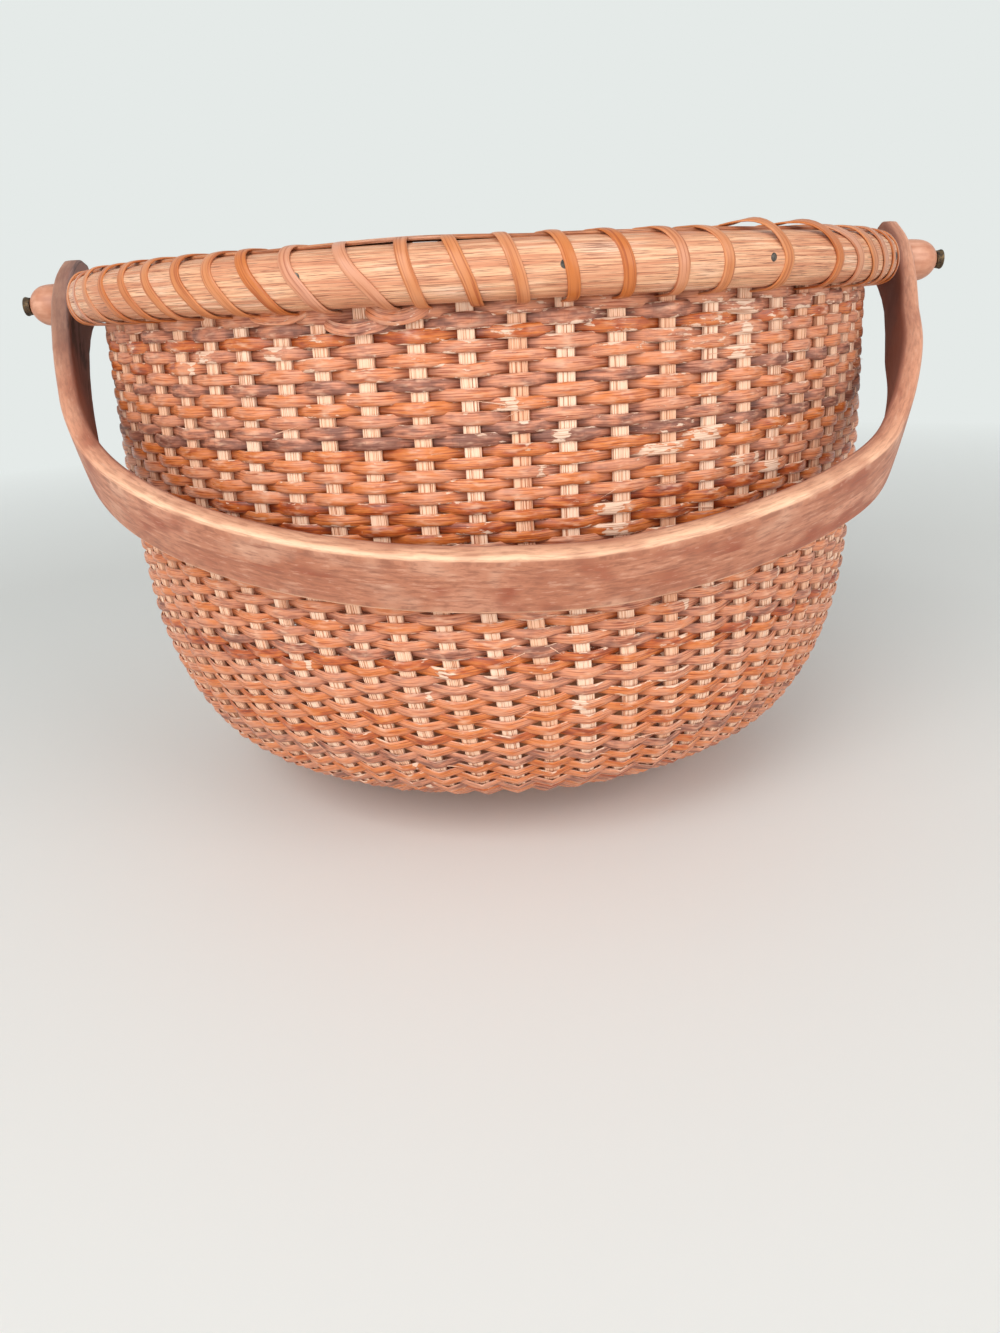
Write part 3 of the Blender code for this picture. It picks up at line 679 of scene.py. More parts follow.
# %% Build the loose ends
LOOSE_ENDS = (((257.1, 0.1549), (258.7, 0.1533), (260.5, 0.1527), (262.4, 0.1533), (264.1, 0.1550)),
              ((252.1, 0.1524), (253.7, 0.1511), (255.6, 0.1505), (257.6, 0.1510), (259.3, 0.1516)),
              ((242.4, 0.1554), (244.3, 0.1542), (246.4, 0.1538), (248.4, 0.1540), (250.3, 0.1554)))
LOOSE_WIDTHS = (0.0033, 0.0026, 0.0028)
LOOSE_TONES = (0.66, 0.80, 0.60)
LOOSE_THICK, STAND_OFF, TUCK_IN = 0.0007, 0.0008, 0.0018
bundle = Bundle()
for spots, width, loose_tone in zip(LOOSE_ENDS, LOOSE_WIDTHS, LOOSE_TONES):
    degrees, height = curve_through(spots, 8).T
    t = np.linspace(-1, 1, len(height))
    radius = np.interp(height, wall_line[:, 1], wall_line[:, 0]) + STAND_OFF - TUCK_IN * t ** 6
    sizes = np.stack([1 - 0.4 * t ** 8, np.ones(len(t))], -1) * (width, LOOSE_THICK)
    angle = np.radians(degrees)
    bundle.sweep(polar(angle, radius, height), polar(angle, np.ones(len(t)), 0.0),
                 rounded(1.0, 1.0, 0.3)[None] * sizes[:, None], np.array([loose_tone, 0.34, 0.0]))
loose_ends = bundle.as_object("loose_weaver_ends", 50)
loose_ends.data.materials.append(weaver_cane)
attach(loose_ends, "basket")
print("loose weaver ends:", len(LOOSE_ENDS))

# %% [markdown]
# ## The rim
# An outer and an inner hoop of bent wood grip the stave tops, and a thin cap strip covers the
# joint. A torus would be too even for them, so each is swept round a full circle with a slight
# wave. The outer hoop is half round, with its flat side against the staves. Softening the section's
# corners twice gives the shape of a shaved hoop. The cap strip has lifted a little at one place in
# front.

# %% Sections of the rim


def softened(points, times=2):
    """Cut the corners of a closed section, which rounds it."""
    pts = np.array(points, float)
    for _ in range(times):
        following = np.roll(pts, -1, 0)
        pts = np.stack([0.75 * pts + 0.25 * following, 0.25 * pts + 0.75 * following], 1).reshape(-1, 2)
    return pts


mid_height = (WALL_HEIGHT + HOOP_TOP) / 2
half_height = (HOOP_TOP - WALL_HEIGHT) / 2
slope_top = half_height - 0.0009
OUTER_THICK, INNER_THICK = 0.0092, 0.0062
outer_section = softened([(0, -half_height), (0.0030, -half_height), (0.0072, -half_height + 0.0010),
                          (OUTER_THICK, -half_height + 0.0040), (OUTER_THICK, half_height - 0.0040),
                          (0.0072, half_height - 0.0010), (0.0030, half_height), (0, slope_top)])
inner_section = softened([(0, -half_height), (-0.0030, -half_height), (-INNER_THICK, -half_height + 0.0030),
                          (-INNER_THICK, half_height - 0.0030), (-0.0030, half_height), (0, slope_top)])
circle = np.linspace(0, 2 * math.pi, 289)[:-1]


def hoop(name, radius, section, wobble, seed):
    """Sweep a hoop round the rim, with the slight waviness of a shaved strip."""
    rng = np.random.default_rng(seed)
    wave = sum(rng.normal(0, wobble / k) * np.sin(k * circle + rng.uniform(0, 6))
               for k in (5, 9, 14, 23, 37))
    line = polar(circle, radius, mid_height + 0.6 * wave)
    outward = polar(circle, 1.0, 0.0)
    grow = 1 + wave / 0.004
    sections = np.stack([np.broadcast_to(section[:, 1], (len(circle), len(section))),
                         section[None, :, 0] * grow[:, None]], -1)
    bundle = Bundle()
    bundle.sweep(line, outward, sections, np.array([0.5, 0.0, 0.0]), closed=True)
    return bundle.as_object(name, 60)


outer_hoop = hoop("outer_hoop", HOOP_FACE, outer_section, 0.00012, 3)
inner_hoop = hoop("inner_hoop", INNER_HOOP_FACE, inner_section, 0.00010, 4)
CAP_RADIUS, CAP_WIDTH, CAP_THICK, CAP_GAP = 0.11885, 0.0078, 0.0009, 0.00015
CAP_LIFT, CAP_LIFT_AT, CAP_LIFT_REACH = 0.0007, 262, 8
cap = Bundle()
cap_wave = 0.00010 * np.sin(7 * circle + 1) + 0.00008 * np.sin(19 * circle)
cap_lift = CAP_LIFT * np.exp(-((np.degrees(circle) - CAP_LIFT_AT) / CAP_LIFT_REACH) ** 2)
cap_height = HOOP_TOP + CAP_GAP + np.abs(cap_wave) + cap_lift
cap.sweep(polar(circle, CAP_RADIUS + cap_wave, cap_height), polar(circle, 0.0, 1.0),
          rounded(CAP_WIDTH, CAP_THICK, 0.3), np.array([0.3, 0.0, 0.0]), closed=True)
rim_cap = cap.as_object("rim_cap_strip")
print("hoop faces:", len(outer_hoop.data.polygons))

# %% [markdown]
# Hoop wood is pale and coarse: short dark pores run along it like dashes, and sanding has left
# narrow bright facets. The same fibre effect serves with a lower fineness for the facets and a
# higher one for the pores.

# %% Finish: bent wood of the hoops


def hoop_finish(name, light, middle, dark, seed):
    """Make the finish of a hoop from three colours."""
    finish = StripFinish(name)
    pores = finish.use(fibres, Length=120.0, Fineness=5200.0, Seed=seed)
    bands = finish.use(fibres, Length=22.0, Fineness=1350.0, Seed=seed + 4)
    tone = finish.use(drift, Tone=0.5, Length=42.0, Strength=1.5, Seed=seed)
    wood = finish.ramp(tone["Tone"], [(0.15, middle), (0.55, light), (1.0, blend_pale(light))])
    wood = finish.mix(finish.spread(bands["Streak"], 0.68, 0.14, 0.0, 0.85), wood, middle)
    dash = finish.spread(pores["Streak"], 0.36, 0.14, 0.0, 0.80)
    finish.give("Base Color", finish.mix(dash, wood, dark))
    finish.give("Roughness", finish.spread(bands["Streak"], 0, 1, 0.58, 0.40))
    finish.relief(bands["Relief"], 0.00040)
    finish.relief(pores["Relief"], 0.00020)
    return finish.mat


def blend_pale(colour):
    """Return a paler version of a colour."""
    return tuple(min(1.0, c + 0.30 * (0.92 - c)) for c in colour[:3]) + (1.0,)


hoop_wood = hoop_finish("hoop_wood", paint(238, 186, 146), paint(204, 132, 96), paint(132, 76, 50), 2.0)
cap_wood = hoop_finish("cap_wood", paint(206, 140, 98), paint(170, 102, 66), paint(110, 62, 42), 6.0)
for obj, mat, node in ((outer_hoop, hoop_wood, "rim_outer_hoop"), (inner_hoop, hoop_wood, "rim_inner_hoop"),
                       (rim_cap, cap_wood, "rim_cap")):
    obj.data.materials.append(mat)
    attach(obj, "basket")
    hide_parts(node)

# %% [markdown]
# ## The lashing
# One flat cane is wound round the whole rim, once for each gap between staves. On the outside it
# leans down to the right. At the top it doesn't hug the hoop: it comes over the edge in a small
# arch, and two turns at the right have worked loose and stand well clear. A spiral curve would
# miss the rim's corners, so the line of one turn is taken from the rim's own section, set off by
# half the cane's thickness. Each of its points has a radius, a height from the hoops' top, and a
# way: up to 1 it runs down the front and under the rim, and from there to 1.3 it climbs inside to
# the next gap.

# %% Line of the lashing
FRONT_WRAPS = (215.6, 220.9, 226.0, 230.6, 235.9, 240.8, 244.2, 250.0, 255.4, 261.9, 266.4,
               271.7, 277.0, 282.5, 288.4, 293.4, 298.0, 305.5, 311.0, 318.0, 322.6)
FRONT_LEANS = (3.8, 3.8, 3.8, 3.9, 3.6, 3.0, 4.6, 3.5, 5.0, 1.9, 2.9,
               2.3, 1.95, 2.0, 1.7, 1.9, 5.0, 6.5, 6.5, 5.5, 5.0)
FRONT_SWAYS = (-1.4, -1.3, -1.3, -1.2, -1.3, -1.4, -0.8, -1.2, -1.0, -0.3, -0.1,
               0.05, 0.2, 0.4, 0.6, 0.8, 2.5, 3.0, 2.2, -0.3, -0.3)
rest = np.linspace(FRONT_WRAPS[-1], FRONT_WRAPS[0] + 360, STAVES - len(FRONT_WRAPS) + 2)[1:-1]
chance = np.random.default_rng(12)
wraps = np.radians(np.r_[FRONT_WRAPS, rest + chance.normal(0, 0.35, len(rest))])
leans = np.radians(np.r_[FRONT_LEANS, np.clip(chance.normal(2.6, 0.7, len(rest)), 0.6, 4.2)])
sways = np.radians(np.r_[FRONT_SWAYS, chance.normal(0.0, 0.5, len(rest))])
LOOSE = {16: 0.0017, 17: 0.0014}
LASH_WIDTH, LASH_THICK = 0.0029, 0.00045

TURN = ((0.1187, 0.0010, 0.0), (0.1226, 0.0008, 0.12), (0.1255, -0.0001, 0.28), (0.1278, -0.0023, 0.47),
        (0.1289, -0.0052, 0.64), (0.1289, -0.0082, 0.80), (0.1277, -0.0112, 0.92), (0.1253, -0.0129, 0.98),
        (0.1215, -0.01335, 1.0), (0.1160, -0.01335, 1.0), (0.1128, -0.0118, 1.03), (0.1114, -0.0090, 1.08),
        (0.1114, -0.0040, 1.14), (0.1130, -0.0010, 1.2), (0.1156, 0.0008, 1.25), (0.1187, 0.0010, 1.3))
profile = curve_through([(radius, HOOP_TOP + height, way) for radius, height, way in TURN], 4)[:-1]
print("points in one turn:", len(profile))

# %% Wind the lashing
START, SOFT_START = 0.15, 0.02
ARCH_AT, ARCH_REACH, TURN_END = 0.30, 0.20, 1.3


def turned_by(number, shift):
    """Return the angle of one turn of the lashing, at a share of its way over and down the hoop."""
    way = (shift - START) / (1 - START)
    way = 0.5 * (way + math.sqrt(way * way + SOFT_START))
    return wraps[number] + leans[number] * way + sways[number] * math.sin(math.pi * way)


lash_line, lash_out, lash_marks = [], [], []
for number in range(STAVES):
    following = turned_by((number + 1) % STAVES, 0.0) + (2 * math.pi if number == STAVES - 1 else 0)
    slack = abs(chance.normal(0.00018, 0.00015)) + LOOSE.get(number, 0.0)
    for k, (radius, height, shift) in enumerate(profile):
        angle = turned_by(number, min(shift, 1.0))
        if shift > 1.0:
            angle += (following - angle) * (shift - 1.0) / (TURN_END - 1.0)
        before, after = profile[k - 1], profile[(k + 1) % len(profile)]
        normal = np.array([-(after[1] - before[1]), after[0] - before[0]])
        normal /= np.linalg.norm(normal)
        arch_at = ARCH_AT if shift <= 1.0 else TURN_END + ARCH_AT
        bulge = slack * math.exp(-((shift - arch_at) / ARCH_REACH) ** 2)
        radius, height = radius + bulge * max(normal[0], 0.2) * 0.8, height + bulge * max(normal[1], 0.25)
        lash_line.append([radius * math.cos(angle), radius * math.sin(angle), height])
        lash_out.append([normal[0] * math.cos(angle), normal[0] * math.sin(angle), normal[1]])
    lash_marks += [[chance.uniform(0, 1), 0.12, 0.0]] * len(profile)
lash_line, lash_out, lash_marks = np.array(lash_line), np.array(lash_out), np.array(lash_marks)
lash_marks[:, 0] = np.convolve(np.r_[lash_marks[-10:, 0], lash_marks[:, 0], lash_marks[:10, 0]],
                               np.ones(21) / 21, "same")[10:-10]
thirds = np.linspace(0, len(lash_line) - 1, 4).astype(int)
lashing = []
lash_run = lengths_along(lash_line)
lash_degrees = np.degrees(np.arctan2(lash_line[:, 1], lash_line[:, 0]))
at_right = np.clip((lash_degrees + 60) / 20, 0, 1) * (lash_line[:, 1] < -0.02)
broad = np.stack([1 + 0.25 * at_right, np.ones(len(at_right))], -1)
flat = rounded(LASH_WIDTH, LASH_THICK, 0.35, 0.00007)
for number, (a, b) in enumerate(zip(thirds, thirds[1:]), 1):
    part = slice(a, b + 1)
    bundle = Bundle()
    bundle.sweep(lash_line[part], lash_out[part], flat[None] * broad[part][:, None], lash_marks[part],
                 start=lash_run[a])
    lashing.append(bundle.as_object(f"lashing_{number}", 50))
print("lashing length in m:", round(lash_run[-1], 2))

# %% Finish: satin cane of the lashing
finish = StripFinish("lashing_cane")
lash_cane = finish.mat
tone = finish.use(drift, Tone=finish.tone, Length=70.0, Strength=0.9)
skin = finish.ramp(tone["Tone"], [(0.1, paint(196, 112, 52)), (0.4, paint(206, 132, 82)),
                                  (0.65, paint(206, 138, 98)), (0.95, paint(208, 146, 116))])
grain = finish.use(fibres, Length=40.0, Fineness=1800.0, Seed=8.0)
lines = finish.ramp(grain["Streak"], [(0.0, paint(214, 184, 166)), (0.5, paint(255, 255, 255))])
skin = finish.mix(1.0, skin, lines, "MULTIPLY")
worn = finish.use(patches, Length=110.0, Height=500.0, Amount=0.12, Seed=2.0)
skin = finish.mix(finish.calc("MULTIPLY", worn["Mask"], 0.6), skin, paint(240, 196, 158))
finish.give("Base Color", skin)
finish.give("Roughness", finish.spread(grain["Streak"], 0, 1, 0.46, 0.34))
finish.relief(grain["Relief"], 0.0001)
for number, obj in enumerate(lashing, 1):
    obj.data.materials.append(lash_cane)
    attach(obj, "basket")
    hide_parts(f"rim_lashing_{number}")

# %% [markdown]
# ## Turned and round pieces
# The base, knobs, washers, pins and nails are all turned on a lathe or round, so one helper spins
# an outline. A Screw modifier spins too, but made by hand each face is laid once and the centre is
# simply welded. Unlike the strips, these pieces take their grain from the place of each point on
# the object.

# %% Turn a round piece


def turned(name, outline, steps, facing=Matrix.Identity(4)):
    """Spin an outline of (radius, height) round its axis and set it in place."""
    outline = np.array(outline, float)
    m = len(outline)
    turn_angles = np.linspace(0, 2 * math.pi, steps + 1)[:-1, None]
    points = polar(turn_angles, outline[None, :, 0], outline[None, :, 1]).reshape(-1, 3)
    round_it = 2 * math.pi * outline[:, 0].max() / steps * np.arange(steps + 1)
    quads, uv = faces_between(steps, m, steps, m - 1, round_it, lengths_along(outline))
    bundle = Bundle()
    bundle.keep(points, quads[:, ::-1], uv[:, ::-1], np.array((0.5, 0.0, 0.0)))
    obj = bundle.as_object(name, 35)
    merge = obj.modifiers.new("join_centre", "WELD")
    merge.merge_threshold = 1e-6
    obj.data.transform(facing)
    return obj


def facing_out(side):
    """Return the turn that points a piece's axis out along the pins on one side."""
    return Matrix.Translation((0, 0, PIVOT_HEIGHT)) @ Matrix.Rotation(side * math.pi / 2, 4, "Y")


# %% [markdown]
# ### The base
# A disc with a groove round its edge, a shallow dish with a bead inside, and faint rings from the
# turning tool above and below.

# %% Build the base
DISH_FLOOR, TOOL_MARK, RING_DEPTH = 0.0073, 0.00008, 0.00012
UNDER_RINGS = ((0.0200, 0.0212), (0.0380, 0.0390))
dish = [(r, DISH_FLOOR + TOOL_MARK * math.cos(r * 2600)) for r in np.linspace(0.0415, 0.0, 40)]
under = [(r, RING_DEPTH if any(a < r < b for a, b in UNDER_RINGS) else 0.0)
         for r in np.linspace(0.0, 0.0500, 60)]
side = [(0.0514, 0.0), (0.0523, 0.0003), (0.0529, 0.0010), (0.0530, 0.0018), (0.0530, 0.0043),
        (0.0482, 0.0043), (0.0482, 0.0060), (0.0523, 0.0060), (0.0523, 0.0085), (0.0520, 0.0092),
        (0.0512, 0.0095), (0.0440, 0.0095), (0.0434, 0.0093), (0.0429, 0.0086), (0.0425, 0.0080),
        (0.0420, 0.0074)]
base = turned("turned_base", under + side + dish, 128)
print("base faces:", len(base.data.polygons))

# %% Finish: oiled wood


def oiled_wood(name, light, middle, dark, scale, rough):
    """Make a finish of mottled, grainy wood for turned pieces, from three colours."""
    finish = Finish(name)
    spot = finish.place("ShaderNodeTexCoord").outputs["Object"]
    stretch = (14 * scale, 190 * scale, 190 * scale)
    along = finish.place("ShaderNodeMapping", {"Vector": spot, "Scale": stretch}).outputs[0]
    grain = finish.noise(along, 1.0, 4.0, 0.6)
    cloud = finish.noise(spot, 46.0 * scale, 3.0, 0.55)
    wood = finish.ramp(cloud, [(0.28, dark), (0.5, middle), (0.72, light)])
    streak = finish.spread(grain, 0.56, 0.36, 0.0, 0.55)
    finish.give("Base Color", finish.mix(streak, wood, dark))
    finish.give("Roughness", finish.spread(cloud, 0.3, 0.7, rough, rough + 0.14))
    finish.relief(grain, 0.00012)
    return finish.mat


base_wood = oiled_wood("base_wood", paint(206, 146, 102), paint(180, 118, 78), paint(140, 84, 54),
                       1.0, 0.42)
base.data.materials.append(base_wood)
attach(base, "basket")
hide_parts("base")

# %% [markdown]
# ### Knobs, washers and pins
# On each side a brass pin runs through both hoops, a wooden washer, the handle's ear and an
# egg-shaped knob, and is spread over a small brass burr outside. A dark line between knob and ear
# shows that they are two pieces.

# %% Build the pivots
knob_wood = oiled_wood("knob_wood", paint(226, 174, 148), paint(206, 144, 114), paint(178, 112, 82),
                       2.6, 0.34)
washer_wood = oiled_wood("washer_wood", paint(190, 134, 104), paint(160, 106, 80), paint(118, 74, 54),
                         2.6, 0.45)
BORE, KNOB_RADIUS, KNOB_END, SHOULDER = 0.0019, 0.0066, 0.1499, 0.0002
KNOB_SHARES = ((0.0, 0.94), (0.14, 0.99), (0.30, 1.0), (0.52, 0.97), (0.69, 0.90), (0.84, 0.76),
               (0.94, 0.60), (1.0, 0.46))


def knob_outline(start):
    """Return the outline of a knob that starts at its ear's outer face."""
    low, length = start + SHOULDER, KNOB_END - start - 2 * SHOULDER
    sides = curve_through([(across * KNOB_RADIUS, low + up * length) for up, across in KNOB_SHARES], 4)
    return [(BORE, start), (0.0057, start)] + list(sides) + [(0.0026, KNOB_END), (BORE, KNOB_END)]


WASHER = [(BORE, 0.13010), (0.0052, 0.13010), (0.0059, 0.13030), (0.0062, 0.13080), (0.0062, 0.13280),
          (0.0059, 0.13340), (0.0052, 0.13360), (BORE, 0.13360)]
BURR = [(BORE, 0.15020), (0.0025, 0.15020), (0.0027, 0.15035), (0.00275, 0.15080), (0.0029, 0.15150),
        (0.00305, 0.15195), (0.00295, 0.15225), (0.0024, 0.15230), (BORE, 0.15222)]
PIN = [(0.0, 0.11225), (0.0028, 0.11225), (0.0034, 0.11245), (0.0035, 0.11290), (0.0034, 0.11325),
       (0.0016, 0.11330), (0.0016, 0.15225), (0.0014, 0.15250), (0.0008, 0.15262), (0.0, 0.15265)]
pivots = []
for side, label, ear_face in ((1, "right", 0.1382), (-1, "left", 0.1393)):
    for kind, outline, node, steps in (("knob", knob_outline(ear_face), "knob_", 48),
                                       ("washer", WASHER, "spacer_washer_", 40),
                                       ("burr", BURR, "pin_burr_", 32), ("pin", PIN, "pivot_pin_", 32)):
        obj = turned(f"{kind}_{label}", outline, steps, facing_out(side))
        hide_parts(node + label)
        pivots.append((kind, obj))
print("pivot pieces:", len(pivots))

# %% Finish: tarnished brass and iron


def old_metal(name, bright, dull, rough):
    """Make a finish of metal under tarnish."""
    finish = Finish(name)
    spot = finish.place("ShaderNodeTexCoord").outputs["Object"]
    cloud = finish.noise(spot, 900.0, 4.0, 0.65)
    tarnish = finish.spread(cloud, 0.38, 0.62)
    finish.give("Base Color", finish.mix(tarnish, bright, dull))
    finish.give("Roughness", finish.spread(cloud, 0.3, 0.7, rough, rough + 0.25))
    finish.give("Metallic", finish.spread(tarnish, 0, 1, 1.0, 0.55))
    finish.relief(cloud, 0.00008)
    return finish.mat


dark_brass = old_metal("dark_brass", paint(112, 92, 68), paint(54, 44, 38), 0.42)
nail_iron = old_metal("nail_iron", paint(120, 112, 104), paint(64, 58, 54), 0.45)
for kind, obj in pivots:
    obj.data.materials.append({"knob": knob_wood, "washer": washer_wood}.get(kind, dark_brass))
    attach(obj, "basket")

# %% [markdown]
# ### Nails
# Small iron nails hold the hoops together through the staves. Each shows a low round head on the
# outside, and the clenched end on the inside is made as a second head. The shanks don't show, so
# they are left out.

# %% Build the nails
NAILS = ((251.5, 0.1620), (277.8, 0.1618), (301.2, 0.1615), (333.0, 0.1616), (12.0, 0.1620), (40.0, 0.1612),
         (68.0, 0.1622), (97.0, 0.1616), (125.0, 0.1610), (152.0, 0.1620), (176.0, 0.1604), (196.0, 0.1622))
HEAD = ((0.0, 0.00038), (0.0005, 0.00036), (0.0009, 0.00026), (0.00112, 0.00008), (0.00115, -0.0002),
        (0.0010, -0.0006), (0.0, -0.0008))
OUTER_FACE, INNER_FACE = 0.12872, 0.11196
for number, (degrees, height) in enumerate(NAILS):
    for where, radius, way in (("out", OUTER_FACE, 1), ("in", INNER_FACE, -1)):
        aim = (Matrix.Rotation(math.radians(degrees), 4, "Z") @ Matrix.Translation((radius, 0, height))
               @ Matrix.Rotation(way * math.pi / 2, 4, "Y"))
        nail = turned(f"nail_{where}_{number:02d}", HEAD, 14, aim)
        nail.data.materials.append(nail_iron)
        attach(nail, "basket")
print("nails:", 2 * len(NAILS))

# %% [markdown]
# ## The handle
# The handle is one strip of wood steamed into a bow, a little fuller on its right. Its ears are
# wider, its edges are narrow flats worn pale, and it rests on the front of the wall. A plank bent
# by a modifier would give a plain arc, so the strip is swept along the real bow. The line keeps to
# that of the solid but for the ends, where it is smoothed from the ears into the bow. Knife marks
# leave the faces slightly uneven, so width and thickness change by a tenth or two of a millimetre
# along it.

# %% Line of the handle
HALF_SPAN, REACH = 0.1363, 0.14415
BOW_SHARES = ((0.969, 0.109), (0.950, 0.206), (0.919, 0.318), (0.890, 0.430), (0.847, 0.541),
              (0.793, 0.653), (0.726, 0.757), (0.624, 0.839), (0.497, 0.906), (0.345, 0.963),
              (0.176, 0.999), (0.0, 1.0), (-0.161, 0.984), (-0.318, 0.948), (-0.458, 0.896),
              (-0.582, 0.832), (-0.694, 0.747), (-0.776, 0.653), (-0.837, 0.542), (-0.880, 0.430),
              (-0.918, 0.319), (-0.951, 0.207), (-0.976, 0.110))
HANDLE_WIDTH, HANDLE_THICK = 0.0181, 0.0054
EAR_WIDTH, EAR_THICK, EAR_LENGTH, EAR_FLAT = 0.0208, 0.0056, 0.0165, 0.0070
REST = math.radians(28.249)
BOW_STEPS, EAR_STEPS = 181, 21
bow_points = [(across * HALF_SPAN, out * REACH) for across, out in BOW_SHARES]
line = curve_through([(HALF_SPAN, EAR_FLAT)] + bow_points + [(-HALF_SPAN, EAR_FLAT)], 24)
run_bow = lengths_along(line)
even = run_bow[-1] * np.linspace(0, 1, BOW_STEPS)
bow = np.c_[np.interp(even, run_bow, line[:, 0]), np.interp(even, run_bow, line[:, 1])]
blend_in = np.sin(np.linspace(0, 1, BOW_STEPS) * math.pi)
widths = EAR_WIDTH + (HANDLE_WIDTH - EAR_WIDTH) * blend_in
thicks = EAR_THICK + (HANDLE_THICK - EAR_THICK) * blend_in
print("length of the bow in mm:", round(1000 * run_bow[-1], 1))

# %% [markdown]
# The two ears aren't alike: the left one is cut square with its corners off, and the right one is
# a round dome and has been shaved thinner. Each is given as shares of its length, width and
# thickness from the tip inwards. Both arms bend in a little just past the ears.

# %% Shape of the ears


def ear(shares):
    """Return places, widths and thicknesses from the tip of an ear to its flat."""
    share, wide, thick = np.array(shares).T
    at = np.interp(np.linspace(0, 1, EAR_STEPS), np.linspace(0, 1, len(share)), share)
    widths, thicks = np.interp(-at, -share, wide) * EAR_WIDTH, np.interp(-at, -share, thick) * EAR_THICK
    return at * -EAR_LENGTH, widths, thicks


BEND_OUT = (-0.0165, -0.0080, 0.0, 0.0070, 0.0157, 0.0297, 0.0450)
BEND_SPAN = (0.1358, 0.1360, 0.1358, 0.1351, 0.1335, 0.1299, 0.1255)
LEFT_EAR = ((1.0, 0.52, 0.74), (0.975, 0.58, 0.84), (0.80, 0.84, 0.92), (0.60, 0.97, 0.97),
            (0.30, 1.0, 1.0), (-0.2, 1.0, 1.0))
RIGHT_EAR = ((0.90, 0.22, 0.60), (0.885, 0.38, 0.76), (0.84, 0.56, 0.88), (0.72, 0.78, 0.95),
             (0.50, 0.93, 1.0), (-0.2, 1.0, 1.0))
back_r, wide_r, thick_r = ear(RIGHT_EAR)
back_l, wide_l, thick_l = ear(LEFT_EAR)
flare = 0.0005 * np.clip(-back_l / EAR_LENGTH, 0, 1) ** 2
across = np.r_[np.full(EAR_STEPS, HALF_SPAN), bow[:, 0], -HALF_SPAN - flare[::-1]]
out = np.r_[back_r, bow[:, 1], back_l[::-1]]
across = np.where(out < BEND_OUT[-1], np.sign(across) * np.interp(out, BEND_OUT, BEND_SPAN), across)
across = np.where(across < -0.1, across - 0.0004 * np.interp(out, [-0.02, 0.0, 0.01], [1, 1, 0]), across)
widths = np.r_[wide_r, widths, wide_l[::-1]]
thicks = np.r_[thick_r, thicks, thick_l[::-1]]
shaved = np.interp(out, [-0.017, 0.002, 0.05], [0.0012, 0.0014, 0.0])
thicks = np.where(across > 0.1, thicks - shaved, thicks)
n = len(across)
print("points along the handle:", n)

# %% Build the handle
rng = np.random.default_rng(5)
KNIFE_WIDE, KNIFE_DEEP = 0.00022, 0.00012
half_turn = np.linspace(0, math.pi, n)
wave = sum(rng.normal(0, 1 / k) * np.sin(k * half_turn + rng.uniform(0, 6)) for k in (9, 17, 31, 53))
body_share = np.clip(np.minimum(np.arange(n), np.arange(n)[::-1]) / 30 - 0.8, 0, 1)
widths = widths + KNIFE_WIDE * wave * body_share
thicks = thicks - KNIFE_DEEP * np.abs(wave) * body_share
handle_line = np.stack([across, -out, KNIFE_DEEP * wave[::-1] * body_share], -1)
normals = np.gradient(handle_line, axis=0)
normals = np.stack([-normals[:, 1], normals[:, 0], np.zeros(n)], -1)
normals *= np.sign(np.sum(normals * np.stack([across, -out + 0.02, np.zeros(n)], -1), 1))[:, None]
normals /= np.linalg.norm(normals, axis=1, keepdims=True)


def handle_section(width, thick):
    """Return a rectangle with narrow round corners and slightly full faces."""
    e = min(0.0012, thick * 0.28)
    w, t = width / 2, thick / 2
    corner = [(math.sin(a), math.cos(a)) for a in np.linspace(0, math.pi / 2, 5)]
    first = [(w - e + e * s, t - e + e * c) for s, c in corner]
    second = [(w - e + e * c, -t + e - e * s) for s, c in corner]
    right = [(w * 0.45, t + 0.00008), (w * 0.75, t + 0.00004)] + first + second + [(w * 0.45, -t)]
    return np.array([(0.0, t + 0.0001)] + right + [(0.0, -t)] + [(-x, y) for x, y in right[::-1]])


sections = np.array([handle_section(w, t) for w, t in zip(widths, thicks)])
ring = sections[n // 2]
handle_marks = np.zeros((*sections.shape[:2], 3))
arms = np.clip((np.abs(across) - 0.085) / 0.03, 0, 1) * 0.5
handle_marks[..., 0] = (arms + 0.5 * np.clip((-across - 0.118) / 0.012, 0, 1))[:, None]
near_edge = np.clip((np.abs(ring[:, 0]) - 0.0078) / 0.0007, 0, 1)
handle_marks[..., 1] = near_edge * np.clip(ring[:, 1] / 0.003 + 0.9, 0, 1)
handle_marks[..., 2] = np.clip(-ring[:, 1] / 0.001 - 1.2, 0, 1)
bundle = Bundle()
bundle.sweep(handle_line, normals, sections, handle_marks)
handle = bundle.as_object("swing_handle", 50)
handle.data.transform(Matrix.Translation((0, 0, PIVOT_HEIGHT)) @ Matrix.Rotation(REST, 4, "X"))
print("handle faces:", len(handle.data.polygons))
